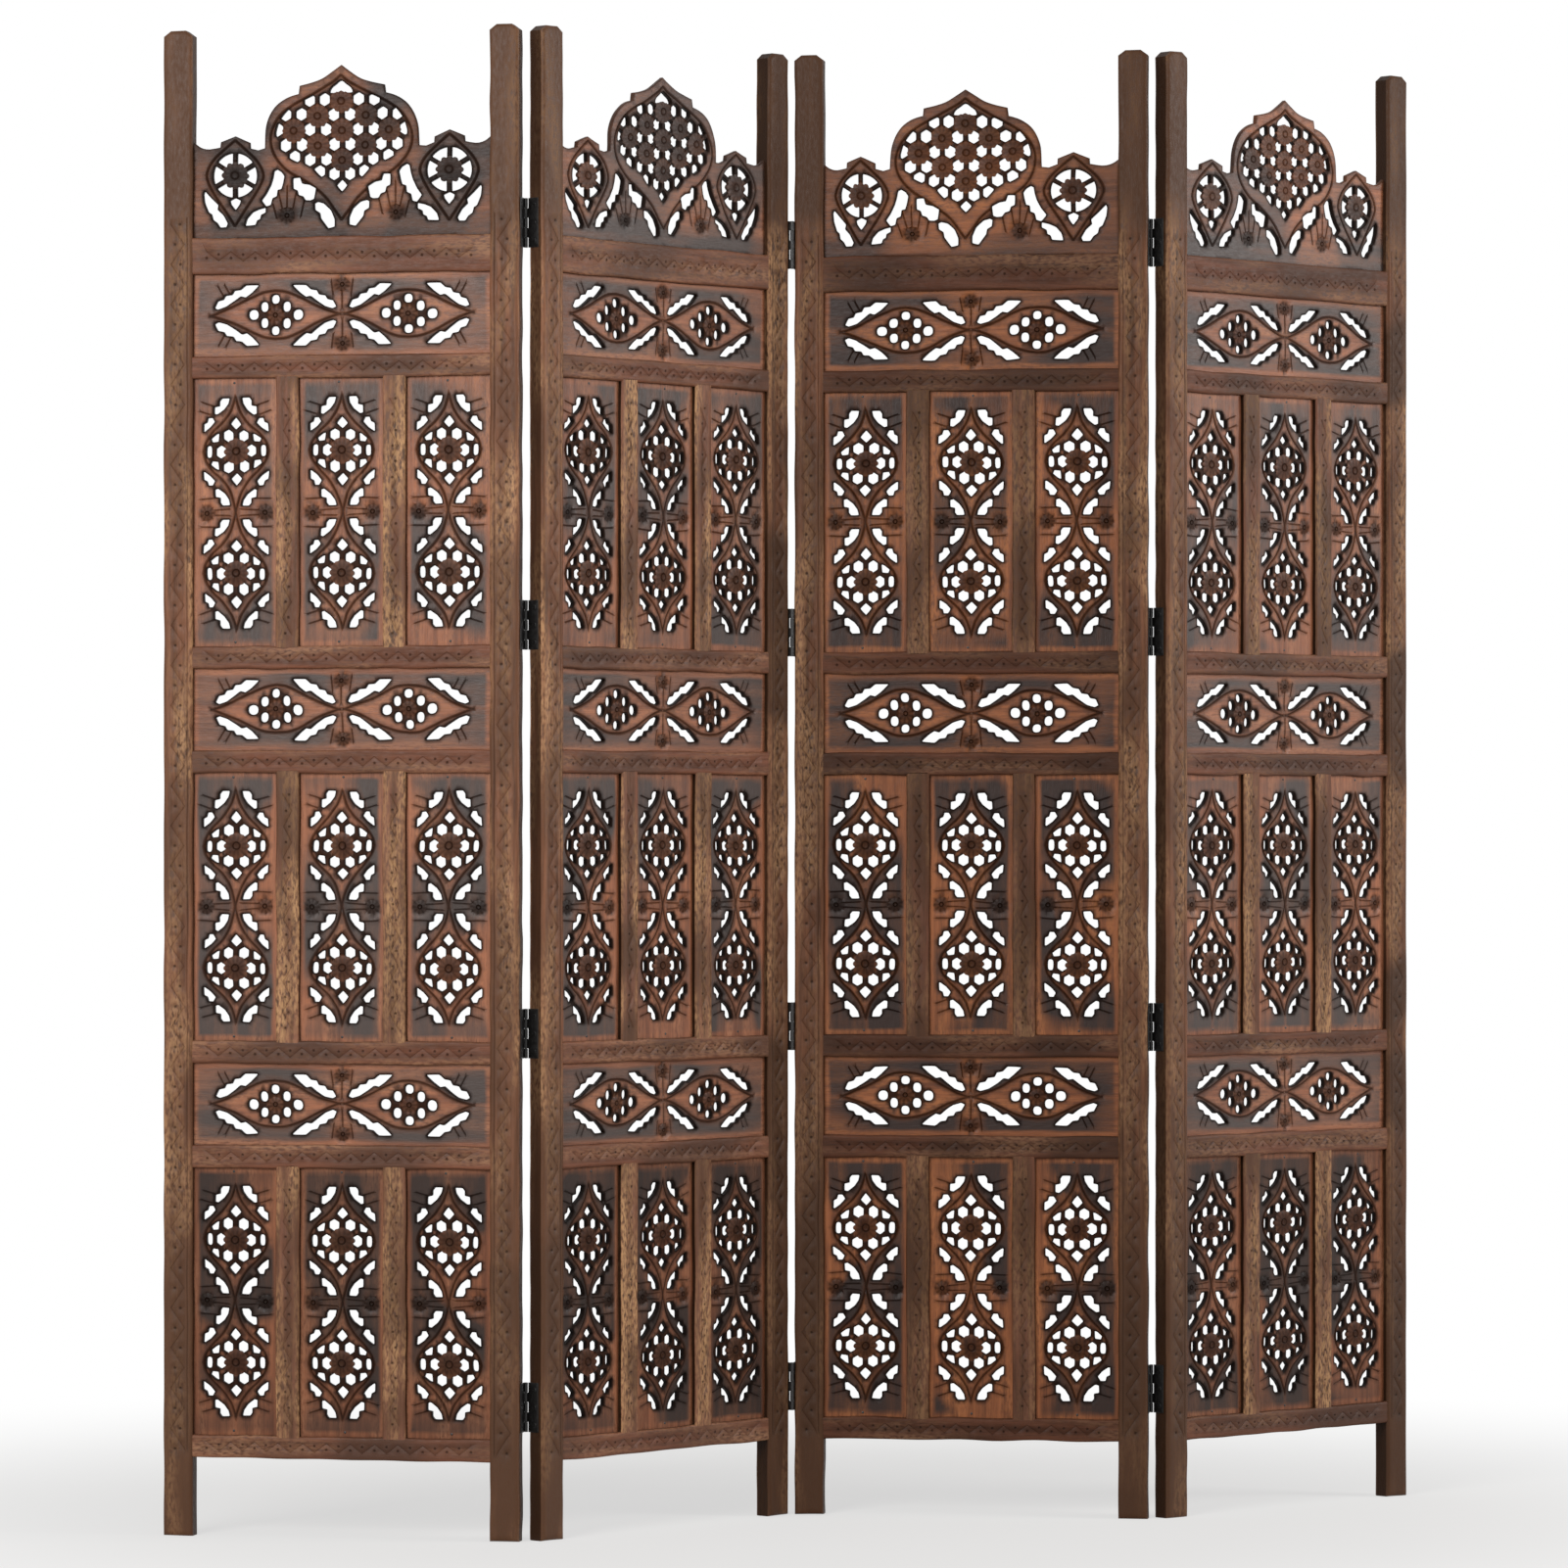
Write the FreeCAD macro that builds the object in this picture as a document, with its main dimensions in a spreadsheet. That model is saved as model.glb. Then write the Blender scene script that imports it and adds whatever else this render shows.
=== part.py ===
import FreeCAD, Part
import os
import re
import Sketcher

# A folding room divider of four pierced wooden panels that stand in a zigzag on butt hinges.
# Each panel is two grooved stiles, seven rails, mullions, and fretwork boards held in the grooves.
# Millimetres, +Z up, the floor at z = 0. Seen from the front, +X is right and +Y is away.
# A panel's own frame has x across it from its left edge, y = 0 at mid thickness, z from the floor.

SIZES = {
    # Frame of one panel
    "panel_width": 400,
    "panel_height": 1650,
    "stile_width": 33,
    "stile_depth": 22,
    "hip_width": 8,
    "hip_height": 6,
    "foot_height": 86,
    "rail_height": 25,
    "rail_depth": 18,
    "head_rail_height": 40,
    "bay_height": 293,
    "frieze_height": 89,
    "mullion_width": 26,
    # Grooves, and the boards and stub tenons that sit in them
    "board_thickness": 6,
    "groove_depth": 6,
    "stile_groove_depth": 8,
    "side_clearance": 0.2,
    "end_clearance": 0.5,
    "cut_margin": 1,
    # Fretwork of the upright boards: two rings of six holes, and a leaf in each corner
    "medallion_offset": 67,
    "ring_radius": 17.5,
    "ring_hole_radius": 7.5,
    "leaf_tip_across": 7,
    "leaf_tip_up": 60,
    "leaf_heel_across": 14,
    "leaf_heel_up": 41.5,
    "leaf_lobe_across": 25,
    "leaf_lobe_up": 44,
    # Fretwork of the friezes: four long leaves round each of two eyes
    "eye_offset": 73,
    "lash_inner_across": 16,
    "lash_bend_across": 33,
    "lash_outer_across": 69,
    "lash_high": 32,
    "lash_end_high": 13,
    "lash_end_low": 5,
    # Crest board, heights above the head rail
    "shoulder_height": 96,
    "finial_offset": 123.7,
    "finial_half_width": 17.3,
    "finial_step_height": 103.4,
    "finial_tip_height": 109,
    "dome_half_width": 84,
    "dome_bulge_across": 72,
    "dome_bulge_height": 132,
    "dome_step_half_width": 47,
    "dome_step_low": 155,
    "dome_step_high": 164,
    "dome_sweep_across": 20.5,
    "dome_sweep_height": 170.5,
    "dome_tip_height": 186,
    "comb_pitch": 18.2,
    "comb_centre": 116,
    "comb_hole_radius": 6.5,
    "onion_half_width": 73.7,
    "onion_low": 47.8,
    "onion_high": 171,
    "onion_fill": 0.92,
    "finial_ring_height": 67.4,
    "finial_ring_radius": 19,
    "finial_hole_radius": 6.5,
    # Butt hinges, the lower three placed from the floor and the highest from the stile's top
    "barrel_diameter": 4.5,
    "pin_diameter": 2.4,
    "pin_clearance": 0.08,
    "leaf_plate_thickness": 1,
    "leaf_plate_width": 15,
    "hinge_length": 54,
    "knuckle_gap": 0.3,
    "hinge_height_low": 145,
    "hinge_height_knee": 552,
    "hinge_height_chest": 997,
    "hinge_head_drop": 215,
    # Compass heading of each panel as it stands, degrees
    "heading_one": -10.86,
    "heading_two": 47.94,
    "heading_three": -7.91,
    "heading_four": 42.70,
}

doc = FreeCAD.newDocument("FoldingScreen")
sheet = doc.addObject("Spreadsheet::Sheet", "Sizes")
for row, (alias, number) in enumerate(SIZES.items(), start=1):
    sheet.set("A%d" % row, alias)
    sheet.set("B%d" % row, str(number))
    sheet.setAlias("B%d" % row, alias)
doc.recompute()

INNER_WIDTH = "(panel_width - 2 * stile_width)"
LATTICE_WIDTH = "(panel_width - 2 * stile_width - 2 * mullion_width) / 3"
TONGUE = "(groove_depth - end_clearance)"
GROOVE_WIDTH = "(board_thickness + 2 * side_clearance)"
CUT_THROUGH = "board_thickness + 2 * cut_margin"
BAY_STEP = "(bay_height + frieze_height + 2 * rail_height)"
HEAD_RAIL_FOOT = "foot_height + 3 * %s" % BAY_STEP
CREST_FOOT = "%s + head_rail_height" % HEAD_RAIL_FOOT
PANELS = ("one", "two", "three", "four")
BAYS = ("lower", "middle", "upper")
HINGE_HEIGHTS = (
    "hinge_height_low",
    "hinge_height_knee",
    "hinge_height_chest",
    "panel_height - hinge_head_drop",
)


def formula(text):
    """Point every size named in the text (all of them hold an underscore) at the sheet."""
    return re.sub(r"[a-z]+(?:_[a-z]+)+", r"Sizes.\g<0>", text)


def value(text):
    """The number that a formula of named sizes gives."""
    return float(sheet.evalExpression(formula(text)))


def bind(item, formulas):
    """Drive properties of a document object by formulas of named sizes."""
    for target, text in formulas.items():
        item.setExpression(target, formula(text))


def block(name, low, sides):
    """A rectangular block from its low corner and its three sides, all of them formulas."""
    box = doc.addObject("Part::Box", name)
    targets = ("Placement.Base.x", "Placement.Base.y", "Placement.Base.z", "Length", "Width", "Height")
    bind(box, dict(zip(targets, low + sides)))
    return box


def cut_away(name, solid, tools):
    """The solid with a set of separate tools cut out of it."""
    tool_set = doc.addObject("Part::Compound", name + "_cutters")
    tool_set.Links = tools
    result = doc.addObject("Part::Cut", name)
    result.Base = solid
    result.Tool = tool_set
    return result


def hold(sketch, geometry, end, across, up):
    """Hold one point of a sketch at two formulas, measured from the sketch's origin."""
    for kind, text, axis in (("DistanceX", across, -2), ("DistanceY", up, -1)):
        if text == "0":
            sketch.addConstraint(Sketcher.Constraint("PointOnObject", geometry, end, axis))
        else:
            rule = Sketcher.Constraint(kind, -1, 1, geometry, end, value(text))
            sketch.setExpression("Constraints[%d]" % sketch.addConstraint(rule), formula(text))


def outline(body, name, plane, *loops):
    """A sketch of closed loops on one of the body's own planes."""
    sketch = body.newObject("Sketcher::SketchObject", name)
    support = next(item for item in body.Origin.OriginFeatures if item.Role == plane)
    sketch.AttachmentSupport = (support, [""])
    sketch.MapMode = "FlatFace"
    for corners in loops:
        close_loop(sketch, corners)
    return sketch


def close_loop(sketch, corners):
    """One closed loop. A corner is (across, up), or (across, up, via, via_up) before a three-point arc."""
    edges = []
    for corner, following in zip(corners, corners[1:] + corners[:1]):
        points = [FreeCAD.Vector(value(corner[0]), value(corner[1]), 0)]
        if len(corner) > 2:
            points.append(FreeCAD.Vector(value(corner[2]), value(corner[3]), 0))
        points.append(FreeCAD.Vector(value(following[0]), value(following[1]), 0))
        curve = Part.LineSegment(*points) if len(points) == 2 else Part.Arc(*points)
        edge = sketch.addGeometry(curve, False)
        to_start = sketch.getPoint(edge, 1).distanceToPoint(points[0])
        to_stop = sketch.getPoint(edge, 2).distanceToPoint(points[0])
        start = 1 if to_start < to_stop else 2
        edges.append((edge, start))
    for (edge, start), (after, after_start) in zip(edges, edges[1:] + edges[:1]):
        sketch.addConstraint(Sketcher.Constraint("Coincident", edge, 3 - start, after, after_start))
    for (edge, start), corner in zip(edges, corners):
        hold(sketch, edge, start, corner[0], corner[1])
        if len(corner) > 2:
            via = FreeCAD.Vector(value(corner[2]), value(corner[3]), 0)
            marker = sketch.addGeometry(Part.Point(via), True)
            hold(sketch, marker, 1, corner[2], corner[3])
            sketch.addConstraint(Sketcher.Constraint("PointOnObject", marker, 1, edge))


def padded(name, plane, corners, thickness):
    """A body whose closed outline is padded evenly to both sides of a plane."""
    body = doc.addObject("PartDesign::Body", name)
    sketch = outline(body, name + "_outline", plane, corners)
    pad = body.newObject("PartDesign::Pad", name + "_pad")
    pad.Profile = sketch
    pad.SideType = "Symmetric"
    bind(pad, {"Length": thickness})
    return body


def hole(name, radius, across, up, spin):
    """A three-sided hole through a board: a prism along y, one corner turned to the spin angle."""
    prism = doc.addObject("Part::Prism", name)
    prism.Polygon = 3
    upright = FreeCAD.Rotation(FreeCAD.Vector(1, 0, 0), 90)
    turned = FreeCAD.Rotation(FreeCAD.Vector(0, 0, 1), spin)
    prism.Placement = FreeCAD.Placement(FreeCAD.Vector(), upright * turned)
    bind(prism, {
        "Circumradius": radius,
        "Height": CUT_THROUGH,
        "Placement.Base.x": across,
        "Placement.Base.y": "board_thickness / 2 + cut_margin",
        "Placement.Base.z": up,
    })
    return prism


def ring(name, radius, hole_radius, across, up):
    """Six three-sided holes round a rosette, a corner of each pointing away from it."""
    holes = []
    for spin in range(0, 360, 60):
        place = "%s + %s * cos(%d)" % (across, radius, spin)
        height = "%s + %s * sin(%d)" % (up, radius, spin)
        holes.append(hole("%s_%d" % (name, spin), hole_radius, place, height, spin))
    return holes


def copies(name, master, places):
    """Copies of a master piece: each place is (across, y, up) formulas and an optional half turn's axis."""
    links = []
    for number, (across, away, up, half_turn) in enumerate(places, start=1):
        link = doc.addObject("App::Link", "%s_%d" % (name, number))
        link.LinkedObject = master
        turn = FreeCAD.Rotation(half_turn, 180) if half_turn else FreeCAD.Rotation()
        link.Placement = FreeCAD.Placement(FreeCAD.Vector(), turn)
        bind(link, {"Placement.Base.x": across, "Placement.Base.y": away, "Placement.Base.z": up})
        links.append(link)
    return links


def stile(name, edge, inward):
    """An upright with a hipped top and a groove down its inner edge; inward is +1 or -1 along x."""
    inner = "%s + %d * stile_width" % (edge, inward)
    hip_foot = "panel_height - hip_height"
    corners = [
        (edge, "0"),
        (inner, "0"),
        (inner, hip_foot),
        ("%s - %d * hip_width" % (inner, inward), "panel_height"),
        ("%s + %d * hip_width" % (edge, inward), "panel_height"),
        (edge, hip_foot),
    ]
    body = padded(name, "XZ_Plane", corners, "stile_depth")
    floor = "%s - %d * stile_groove_depth" % (inner, inward)
    half = "%s / 2" % GROOVE_WIDTH
    groove = outline(body, name + "_groove_outline", "XY_Plane", [
        (floor, "-" + half), (inner, "-" + half), (inner, half), (floor, half),
    ])
    doc.recompute()
    uncut = body.Shape.Volume
    pocket = body.newObject("PartDesign::Pocket", name + "_groove")
    pocket.Profile = groove
    pocket.Type = "ThroughAll"
    pocket.Reversed = True
    doc.recompute()
    if body.Shape.Volume >= uncut:
        raise RuntimeError("the groove of %s cuts nothing" % name)
    return body


def rail(name, height, lower_groove, upper_groove):
    """A rail from z = 0 with stub tenons in the stiles' grooves and grooves for the boards it holds."""
    tenon_length = "(stile_groove_depth - end_clearance)"
    bar = block(
        name + "_bar",
        ("stile_width", "-rail_depth / 2", "0"),
        (INNER_WIDTH, "rail_depth", height),
    )
    tenon = block(
        name + "_tenon",
        ("stile_width - %s" % tenon_length, "-board_thickness / 2", lower_groove),
        ("%s + 2 * %s" % (INNER_WIDTH, tenon_length), "board_thickness",
         "%s - %s - %s" % (height, lower_groove, upper_groove)),
    )
    grooves = []
    for edge, depth, low in (("low", lower_groove, "0"),
                             ("high", upper_groove, "%s - %s" % (height, upper_groove))):
        if depth != "0":
            grooves.append(block(
                "%s_%s_groove" % (name, edge),
                ("stile_width", "-%s / 2" % GROOVE_WIDTH, low),
                (INNER_WIDTH, GROOVE_WIDTH, depth),
            ))
    grooved = cut_away(name + "_grooved", bar, grooves)
    joined = doc.addObject("Part::Fuse", name)
    joined.Base = grooved
    joined.Tool = tenon
    return joined


def mullion(name):
    """An upright bar of one bay, grooved down both edges, that stands between two rails."""
    bar = block(
        name + "_bar",
        ("-mullion_width / 2", "-rail_depth / 2", "0"),
        ("mullion_width", "rail_depth", "bay_height"),
    )
    grooves = []
    for edge, low in (("left", "-mullion_width / 2"), ("right", "mullion_width / 2 - groove_depth")):
        grooves.append(block(
            "%s_%s_groove" % (name, edge),
            (low, "-%s / 2" % GROOVE_WIDTH, "0"),
            ("groove_depth", GROOVE_WIDTH, "bay_height"),
        ))
    return cut_away(name, bar, grooves)


def board(name, width, height):
    """A plain board centred on the origin, with a tongue all round for the grooves."""
    return block(
        name,
        ("-(%s) / 2 - %s" % (width, TONGUE), "-board_thickness / 2", "-(%s) / 2 - %s" % (height, TONGUE)),
        ("%s + 2 * %s" % (width, TONGUE), "board_thickness", "%s + 2 * %s" % (height, TONGUE)),
    )


def lattice():
    """The upright fretwork board: two rings of holes, and a leaf in each corner of the board."""
    holes = []
    for end, rise in (("low", -1), ("high", 1)):
        centre = "%d * medallion_offset" % rise
        holes += ring("lattice_%s_hole" % end, "ring_radius", "ring_hole_radius", "0", centre)
        for side, sign in (("left", -1), ("right", 1)):
            corners = []
            for spot in ("tip", "heel", "lobe"):
                corners.append((
                    "%d * leaf_%s_across" % (sign, spot),
                    "%s + %d * leaf_%s_up" % (centre, rise, spot),
                ))
            leaf_name = "lattice_%s_%s_leaf" % (end, side)
            holes.append(padded(leaf_name, "XZ_Plane", corners, CUT_THROUGH))
    return cut_away("lattice", board("lattice_board", LATTICE_WIDTH, "bay_height"), holes)


def frieze():
    """The lying fretwork board: four long leaves round each of two eyes."""
    holes = []
    for end, sign in (("left", -1), ("right", 1)):
        centre = "%d * eye_offset" % sign
        for side in (-1, 1):
            for rise in (-1, 1):
                corners = []
                for across, up in (("lash_inner_across", "lash_high"), ("lash_bend_across", "lash_high"),
                                   ("lash_outer_across", "lash_end_high"),
                                   ("lash_outer_across", "lash_end_low")):
                    corners.append(("%s + %d * %s" % (centre, side, across), "%d * %s" % (rise, up)))
                leaf_name = "frieze_%s_leaf_%s%s" % (end, "lr"[side > 0], "du"[rise > 0])
                holes.append(padded(leaf_name, "XZ_Plane", corners, CUT_THROUGH))
    return cut_away("frieze", board("frieze_board", INNER_WIDTH, "frieze_height"), holes)


def crest_outline():
    """The crest from its tongue up over shoulder, finial and stepped onion dome, mirrored about x = 0."""
    edge = "(%s / 2 + %s)" % (INNER_WIDTH, TONGUE)
    outer = "(finial_offset + finial_half_width)"
    inner = "(finial_offset - finial_half_width)"
    right = [
        (edge, "-%s" % TONGUE),
        (edge, "shoulder_height"),
        (outer, "shoulder_height"),
        (outer, "finial_step_height"),
        ("finial_offset", "finial_tip_height"),
        (inner, "finial_step_height"),
        (inner, "shoulder_height"),
        ("dome_half_width", "shoulder_height", "dome_bulge_across", "dome_bulge_height"),
        ("dome_step_half_width", "dome_step_low"),
        ("dome_step_half_width", "dome_step_high", "dome_sweep_across", "dome_sweep_height"),
    ]
    upper = right + [("0", "dome_tip_height")]
    left = []
    for corner, before in zip(reversed(upper), reversed(right)):
        via = ("-" + before[2], before[3]) if len(before) > 2 else ()
        across = corner[0] if corner[0] == "0" else "-" + corner[0]
        left.append((across, corner[1]) + via)
    return right + left + [("-" + edge, "-%s" % TONGUE)]


def crest():
    """The domed top board: a honeycomb of holes in the onion, rosettes left solid, and two side rings."""
    blank = padded("crest_blank", "XZ_Plane", crest_outline(), "board_thickness")
    holes = []
    reach = {1: value("onion_high - comb_centre"), -1: value("comb_centre - onion_low")}
    row_pitch = "comb_pitch * sqrt(3) / 2"
    rows = int(max(reach.values()) / value(row_pitch))
    columns = int(value("onion_half_width / comb_pitch")) * 2
    for row in range(-rows, rows + 1):
        for column in range(-columns, columns + 1):
            in_comb = (row + column) % 2 == 0
            is_rosette = (column + 3 * row) % 6 == 0
            across = column * value("comb_pitch / 2") / value("onion_half_width")
            rise = row * value(row_pitch) / reach[1 if row > 0 else -1]
            if in_comb and not is_rosette and abs(across) + abs(rise) < value("onion_fill"):
                place = "%d * comb_pitch / 2" % column
                height = "comb_centre + %d * %s" % (row, row_pitch)
                name = "comb_hole_%d_%d" % (row + rows, column + columns)
                holes.append(hole(name, "comb_hole_radius", place, height, 90))
    for side, sign in (("left", -1), ("right", 1)):
        holes += ring("finial_%s_hole" % side, "finial_ring_radius", "finial_hole_radius",
                      "%d * finial_offset" % sign, "finial_ring_height")
    return cut_away("crest", blank, holes)


def octagon(inradius):
    """The corners of an eight-sided section about the origin, from the lower left anticlockwise."""
    side = "%s * tan(22.5)" % inradius
    right = [(side, "-" + inradius), (inradius, "-" + side), (inradius, side), (side, inradius)]
    left = [("-" + across, up) for across, up in reversed(right)]
    return left[-1:] + right + left[:-1]


def hinge_leaf(name, side, knuckles):
    """A leaf about a pin on the z axis: a plate on side x, and knuckles in the fifths given, 0 in the middle."""
    barrel = "(barrel_diameter / 2)"
    face = "%d * %s" % (side, barrel)
    inside = "%d * (%s - leaf_plate_thickness)" % (side, barrel)
    plate_end = "-(%s + leaf_plate_width)" % barrel
    plate_start = "-(%s + knuckle_gap)" % barrel
    body = padded(name, "XY_Plane", [
        (face, plate_end), (inside, plate_end), (inside, plate_start), (face, plate_start),
    ], "hinge_length")
    rolled = [(face, plate_end), (inside, plate_end),
              (inside, "-(%s * tan(22.5) + leaf_plate_thickness)" % barrel)]
    rolled += [("%d * (%s)" % (-side, across), up) for across, up in octagon(barrel)[:-1]]
    bore = octagon("(pin_diameter / 2 + pin_clearance)")
    for fifth in knuckles:
        tag = "%s_knuckle_%d" % (name, fifth + 3)
        section = outline(body, tag + "_outline", "XY_Plane", rolled, bore)
        bind(section, {"AttachmentOffset.Base.z": "%d * hinge_length / 5" % fifth})
        pad = body.newObject("PartDesign::Pad", tag)
        pad.Profile = section
        pad.SideType = "Symmetric"
        bind(pad, {"Length": "hinge_length / 5 - knuckle_gap"})
    return body


def hinge_pin(name):
    """A pin as long as the hinge, eight-sided, its corners on the pin's circle so that it turns in its bore."""
    return padded(name, "XY_Plane", octagon("(pin_diameter / 2 * cos(22.5))"), "hinge_length")


def bay_places(across, up):
    """One place per bay at the given height within the bay."""
    return [(across, "0", "foot_height + %d * %s + %s" % (bay, BAY_STEP, up), None) for bay in range(3)]


def hinge_places(across, rear):
    """One place per hinge height, on the pin line behind (or in front of) the stile edge."""
    away = "%s(stile_depth / 2 + barrel_diameter / 2)" % ("" if rear else "-")
    half_turn = None if rear else FreeCAD.Vector(1, 0, 0)
    return [(across, away, height, half_turn) for height in HINGE_HEIGHTS]


def panel_pieces():
    """Every piece of one panel in the panel's own frame, by the name of its node."""
    here = [("0", "0", "0", None)]
    middle = "panel_width / 2"
    mullion_step = "(%s + mullion_width)" % LATTICE_WIDTH
    pieces = {
        "left_stile": copies("left_stile_copy", stile("left_stile", "0", 1), here),
        "right_stile": copies("right_stile_copy", stile("right_stile", "panel_width", -1), here),
    }
    foot_rail = rail("foot_rail", "rail_height", "0", "groove_depth")
    cross_rail = rail("cross_rail", "rail_height", "groove_depth", "groove_depth")
    head_rail = rail("head_rail", "head_rail_height", "groove_depth", "groove_depth")
    under_frieze = bay_places("0", "rail_height + bay_height")
    under_bay = bay_places("0", "0")[1:]
    pieces["rails"] = copies("foot_rail_copy", foot_rail, [("0", "0", "foot_height", None)])
    pieces["rails"] += copies("cross_rail_copy", cross_rail, under_frieze + under_bay)
    pieces["head_rail"] = copies("head_rail_copy", head_rail, [("0", "0", HEAD_RAIL_FOOT, None)])
    mullion_places = []
    for side in (-1, 1):
        mullion_places += bay_places("%s + %d * %s / 2" % (middle, side, mullion_step), "rail_height")
    pieces["mullions"] = copies("mullion_copy", mullion("mullion"), mullion_places)
    crest_place = [(middle, "0", CREST_FOOT, None)]
    pieces["crest_board"] = copies("crest_copy", crest(), crest_place)
    frieze_rise = "2 * rail_height + bay_height + frieze_height / 2"
    pieces["frieze_boards"] = copies("frieze_copy", frieze(), bay_places(middle, frieze_rise))
    upright = lattice()
    for bay, word in enumerate(BAYS):
        places = []
        for column in (-1, 0, 1):
            across = "%s + %d * %s" % (middle, column, mullion_step)
            places.append(bay_places(across, "rail_height + bay_height / 2")[bay])
        pieces[word + "_lattices"] = copies(word + "_lattice_copy", upright, places)
    return pieces


def hinge_pieces():
    """Hinge leaves and pins in the frame of the panel that carries them, for rear and front pin lines."""
    left_leaf = hinge_leaf("left_leaf", -1, (-2, 0, 2))
    right_leaf = hinge_leaf("right_leaf", 1, (-1, 1))
    pin = hinge_pin("hinge_pin")
    after = "panel_width + barrel_diameter / 2"
    before = "-barrel_diameter / 2"
    sets = {}
    for line, rear in (("rear", True), ("front", False)):
        sets[line] = {
            "left_leaves": copies("left_leaf_%s" % line, left_leaf, hinge_places(after, rear)),
            "right_leaves": copies("right_leaf_%s" % line, right_leaf, hinge_places(before, rear)),
            "pins": copies("pin_%s" % line, pin, hinge_places(after, rear)),
        }
    return sets


def panel_placements():
    """The zigzag: each panel turned to its heading about the pin it shares with the one before it."""
    upward = FreeCAD.Vector(0, 0, 1)
    width = value("panel_width")
    reach = value("barrel_diameter / 2")
    pin_away = value("stile_depth / 2 + barrel_diameter / 2")
    half_depth = value("stile_depth / 2")
    placements = []
    for number, word in enumerate(PANELS):
        turn = FreeCAD.Rotation(upward, value("heading_" + word))
        origin = FreeCAD.Vector()
        if placements:
            away = pin_away if number % 2 else -pin_away
            pin = placements[-1].multVec(FreeCAD.Vector(width + reach, away, 0))
            origin = pin - turn.multVec(FreeCAD.Vector(-reach, away, 0))
        placements.append(FreeCAD.Placement(origin, turn))
    box = FreeCAD.BoundBox()
    for placement in placements:
        for across in (0, width):
            for away in (-half_depth, half_depth):
                box.add(placement.multVec(FreeCAD.Vector(across, away, 0)))
    centre = FreeCAD.Vector(box.Center.x, box.Center.y, 0)
    return [FreeCAD.Placement(each.Base - centre, each.Rotation) for each in placements]


def node(name, links, placement):
    """One named node: its pieces as separate solids, carried to the panel's place."""
    group = doc.addObject("Part::Compound", name)
    group.Label = name
    group.Links = links
    group.Placement = placement
    return group


placements = panel_placements()
panel_sets = panel_pieces()
hinge_sets = hinge_pieces()
nodes = []
for number, placement in enumerate(placements, start=1):
    for piece, links in panel_sets.items():
        nodes.append(node("panel_%d_%s" % (number, piece), links, placement))
for number in range(1, len(placements)):
    sets = hinge_sets["rear" if number % 2 else "front"]
    for piece, links in sets.items():
        carrier = number if piece == "right_leaves" else number - 1
        nodes.append(node("hinge_%d%d_%s" % (number, number + 1, piece), links, placements[carrier]))
doc.recompute()

for item in doc.Objects:
    if "Invalid" in item.State or "Error" in item.State:
        raise RuntimeError("%s failed: %s" % (item.Label, item.State))
for item in nodes:
    if item.Shape.isNull() or not item.Shape.isValid():
        raise RuntimeError("%s has no valid shape" % item.Label)

os.makedirs("parts", exist_ok=True)
for item in nodes:
    item.Shape.exportStep(os.path.join("parts", item.Label + ".step"))
for joint in range(1, len(placements)):
    away = value("stile_depth / 2 + barrel_diameter / 2") * (1 if joint % 2 else -1)
    pin = placements[joint - 1].multVec(FreeCAD.Vector(value("panel_width + barrel_diameter / 2"), away, 0))
    print("pin line %d-%d at x %.3f, y %.3f" % (joint, joint + 1, pin.x, pin.y))
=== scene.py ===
from functools import partial

import bpy
import numpy as np
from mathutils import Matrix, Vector
from mathutils.geometry import delaunay_2d_cdt


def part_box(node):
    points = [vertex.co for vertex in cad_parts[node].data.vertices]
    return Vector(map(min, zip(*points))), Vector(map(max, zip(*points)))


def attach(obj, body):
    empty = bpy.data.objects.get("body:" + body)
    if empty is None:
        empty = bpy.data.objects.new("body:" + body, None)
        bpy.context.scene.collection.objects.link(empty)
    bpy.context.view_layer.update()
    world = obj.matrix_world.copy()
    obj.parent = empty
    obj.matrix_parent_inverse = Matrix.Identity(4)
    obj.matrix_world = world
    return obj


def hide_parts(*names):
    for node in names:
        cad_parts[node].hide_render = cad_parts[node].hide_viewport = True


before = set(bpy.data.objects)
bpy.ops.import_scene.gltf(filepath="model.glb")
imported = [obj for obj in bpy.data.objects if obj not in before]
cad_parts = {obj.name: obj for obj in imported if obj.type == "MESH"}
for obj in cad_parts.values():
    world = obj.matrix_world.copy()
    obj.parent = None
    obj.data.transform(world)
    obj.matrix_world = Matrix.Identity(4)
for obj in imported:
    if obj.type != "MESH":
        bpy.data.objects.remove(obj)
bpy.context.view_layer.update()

# Stiles: the two uprights of each panel, mango wood planed to 33 by 22 mm, with rounded arrises
# and hipped tops. A zigzag with a punched dot in each angle is cut by hand down both faces.
MM = 0.001
PANELS = ("panel_1", "panel_2", "panel_3", "panel_4")
STILE_WIDTH = 33.0
STILE_DEPTH = 22.0
STILE_ARRIS = 3.6
STILE_RUB = 7.0
STILE_DRIFT = 0.5
HIP_WIDTH = 8.0
HIP_HEIGHT = 6.0
ZIGZAG_WIDTH = 15.0
ZIGZAG_STEP = 22.0
ZIGZAG_FOOT = 96.0
ZIGZAG_HEAD = 1444.0
EDGE_LINE = 10.8
STILE_DOT = 2.3
# Smoke on a stile: the first for most, the second for the right stiles of the second and fourth panels, where
# the extra is painted shade.
STILE_SMOKE_AND_SHADE = (0.6, 1.5)
DOT_DEPTH = 0.9
BEVEL_WIDTH = 1.1
BEVEL_DEPTH = 0.7
SCORCH_RIM = 0.6
SCORCH_FADE = 2.2
BLOOM_RINGS = (0.08, 0.18, 0.28, 0.38, 0.7, 0.99)
CREASE = np.radians(32)
STRAY_WAVES = (40, 150)
LOG_HALF = 900
BLOCK = 2_000_000
NO_TURN = (1, 1, 1)
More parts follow.
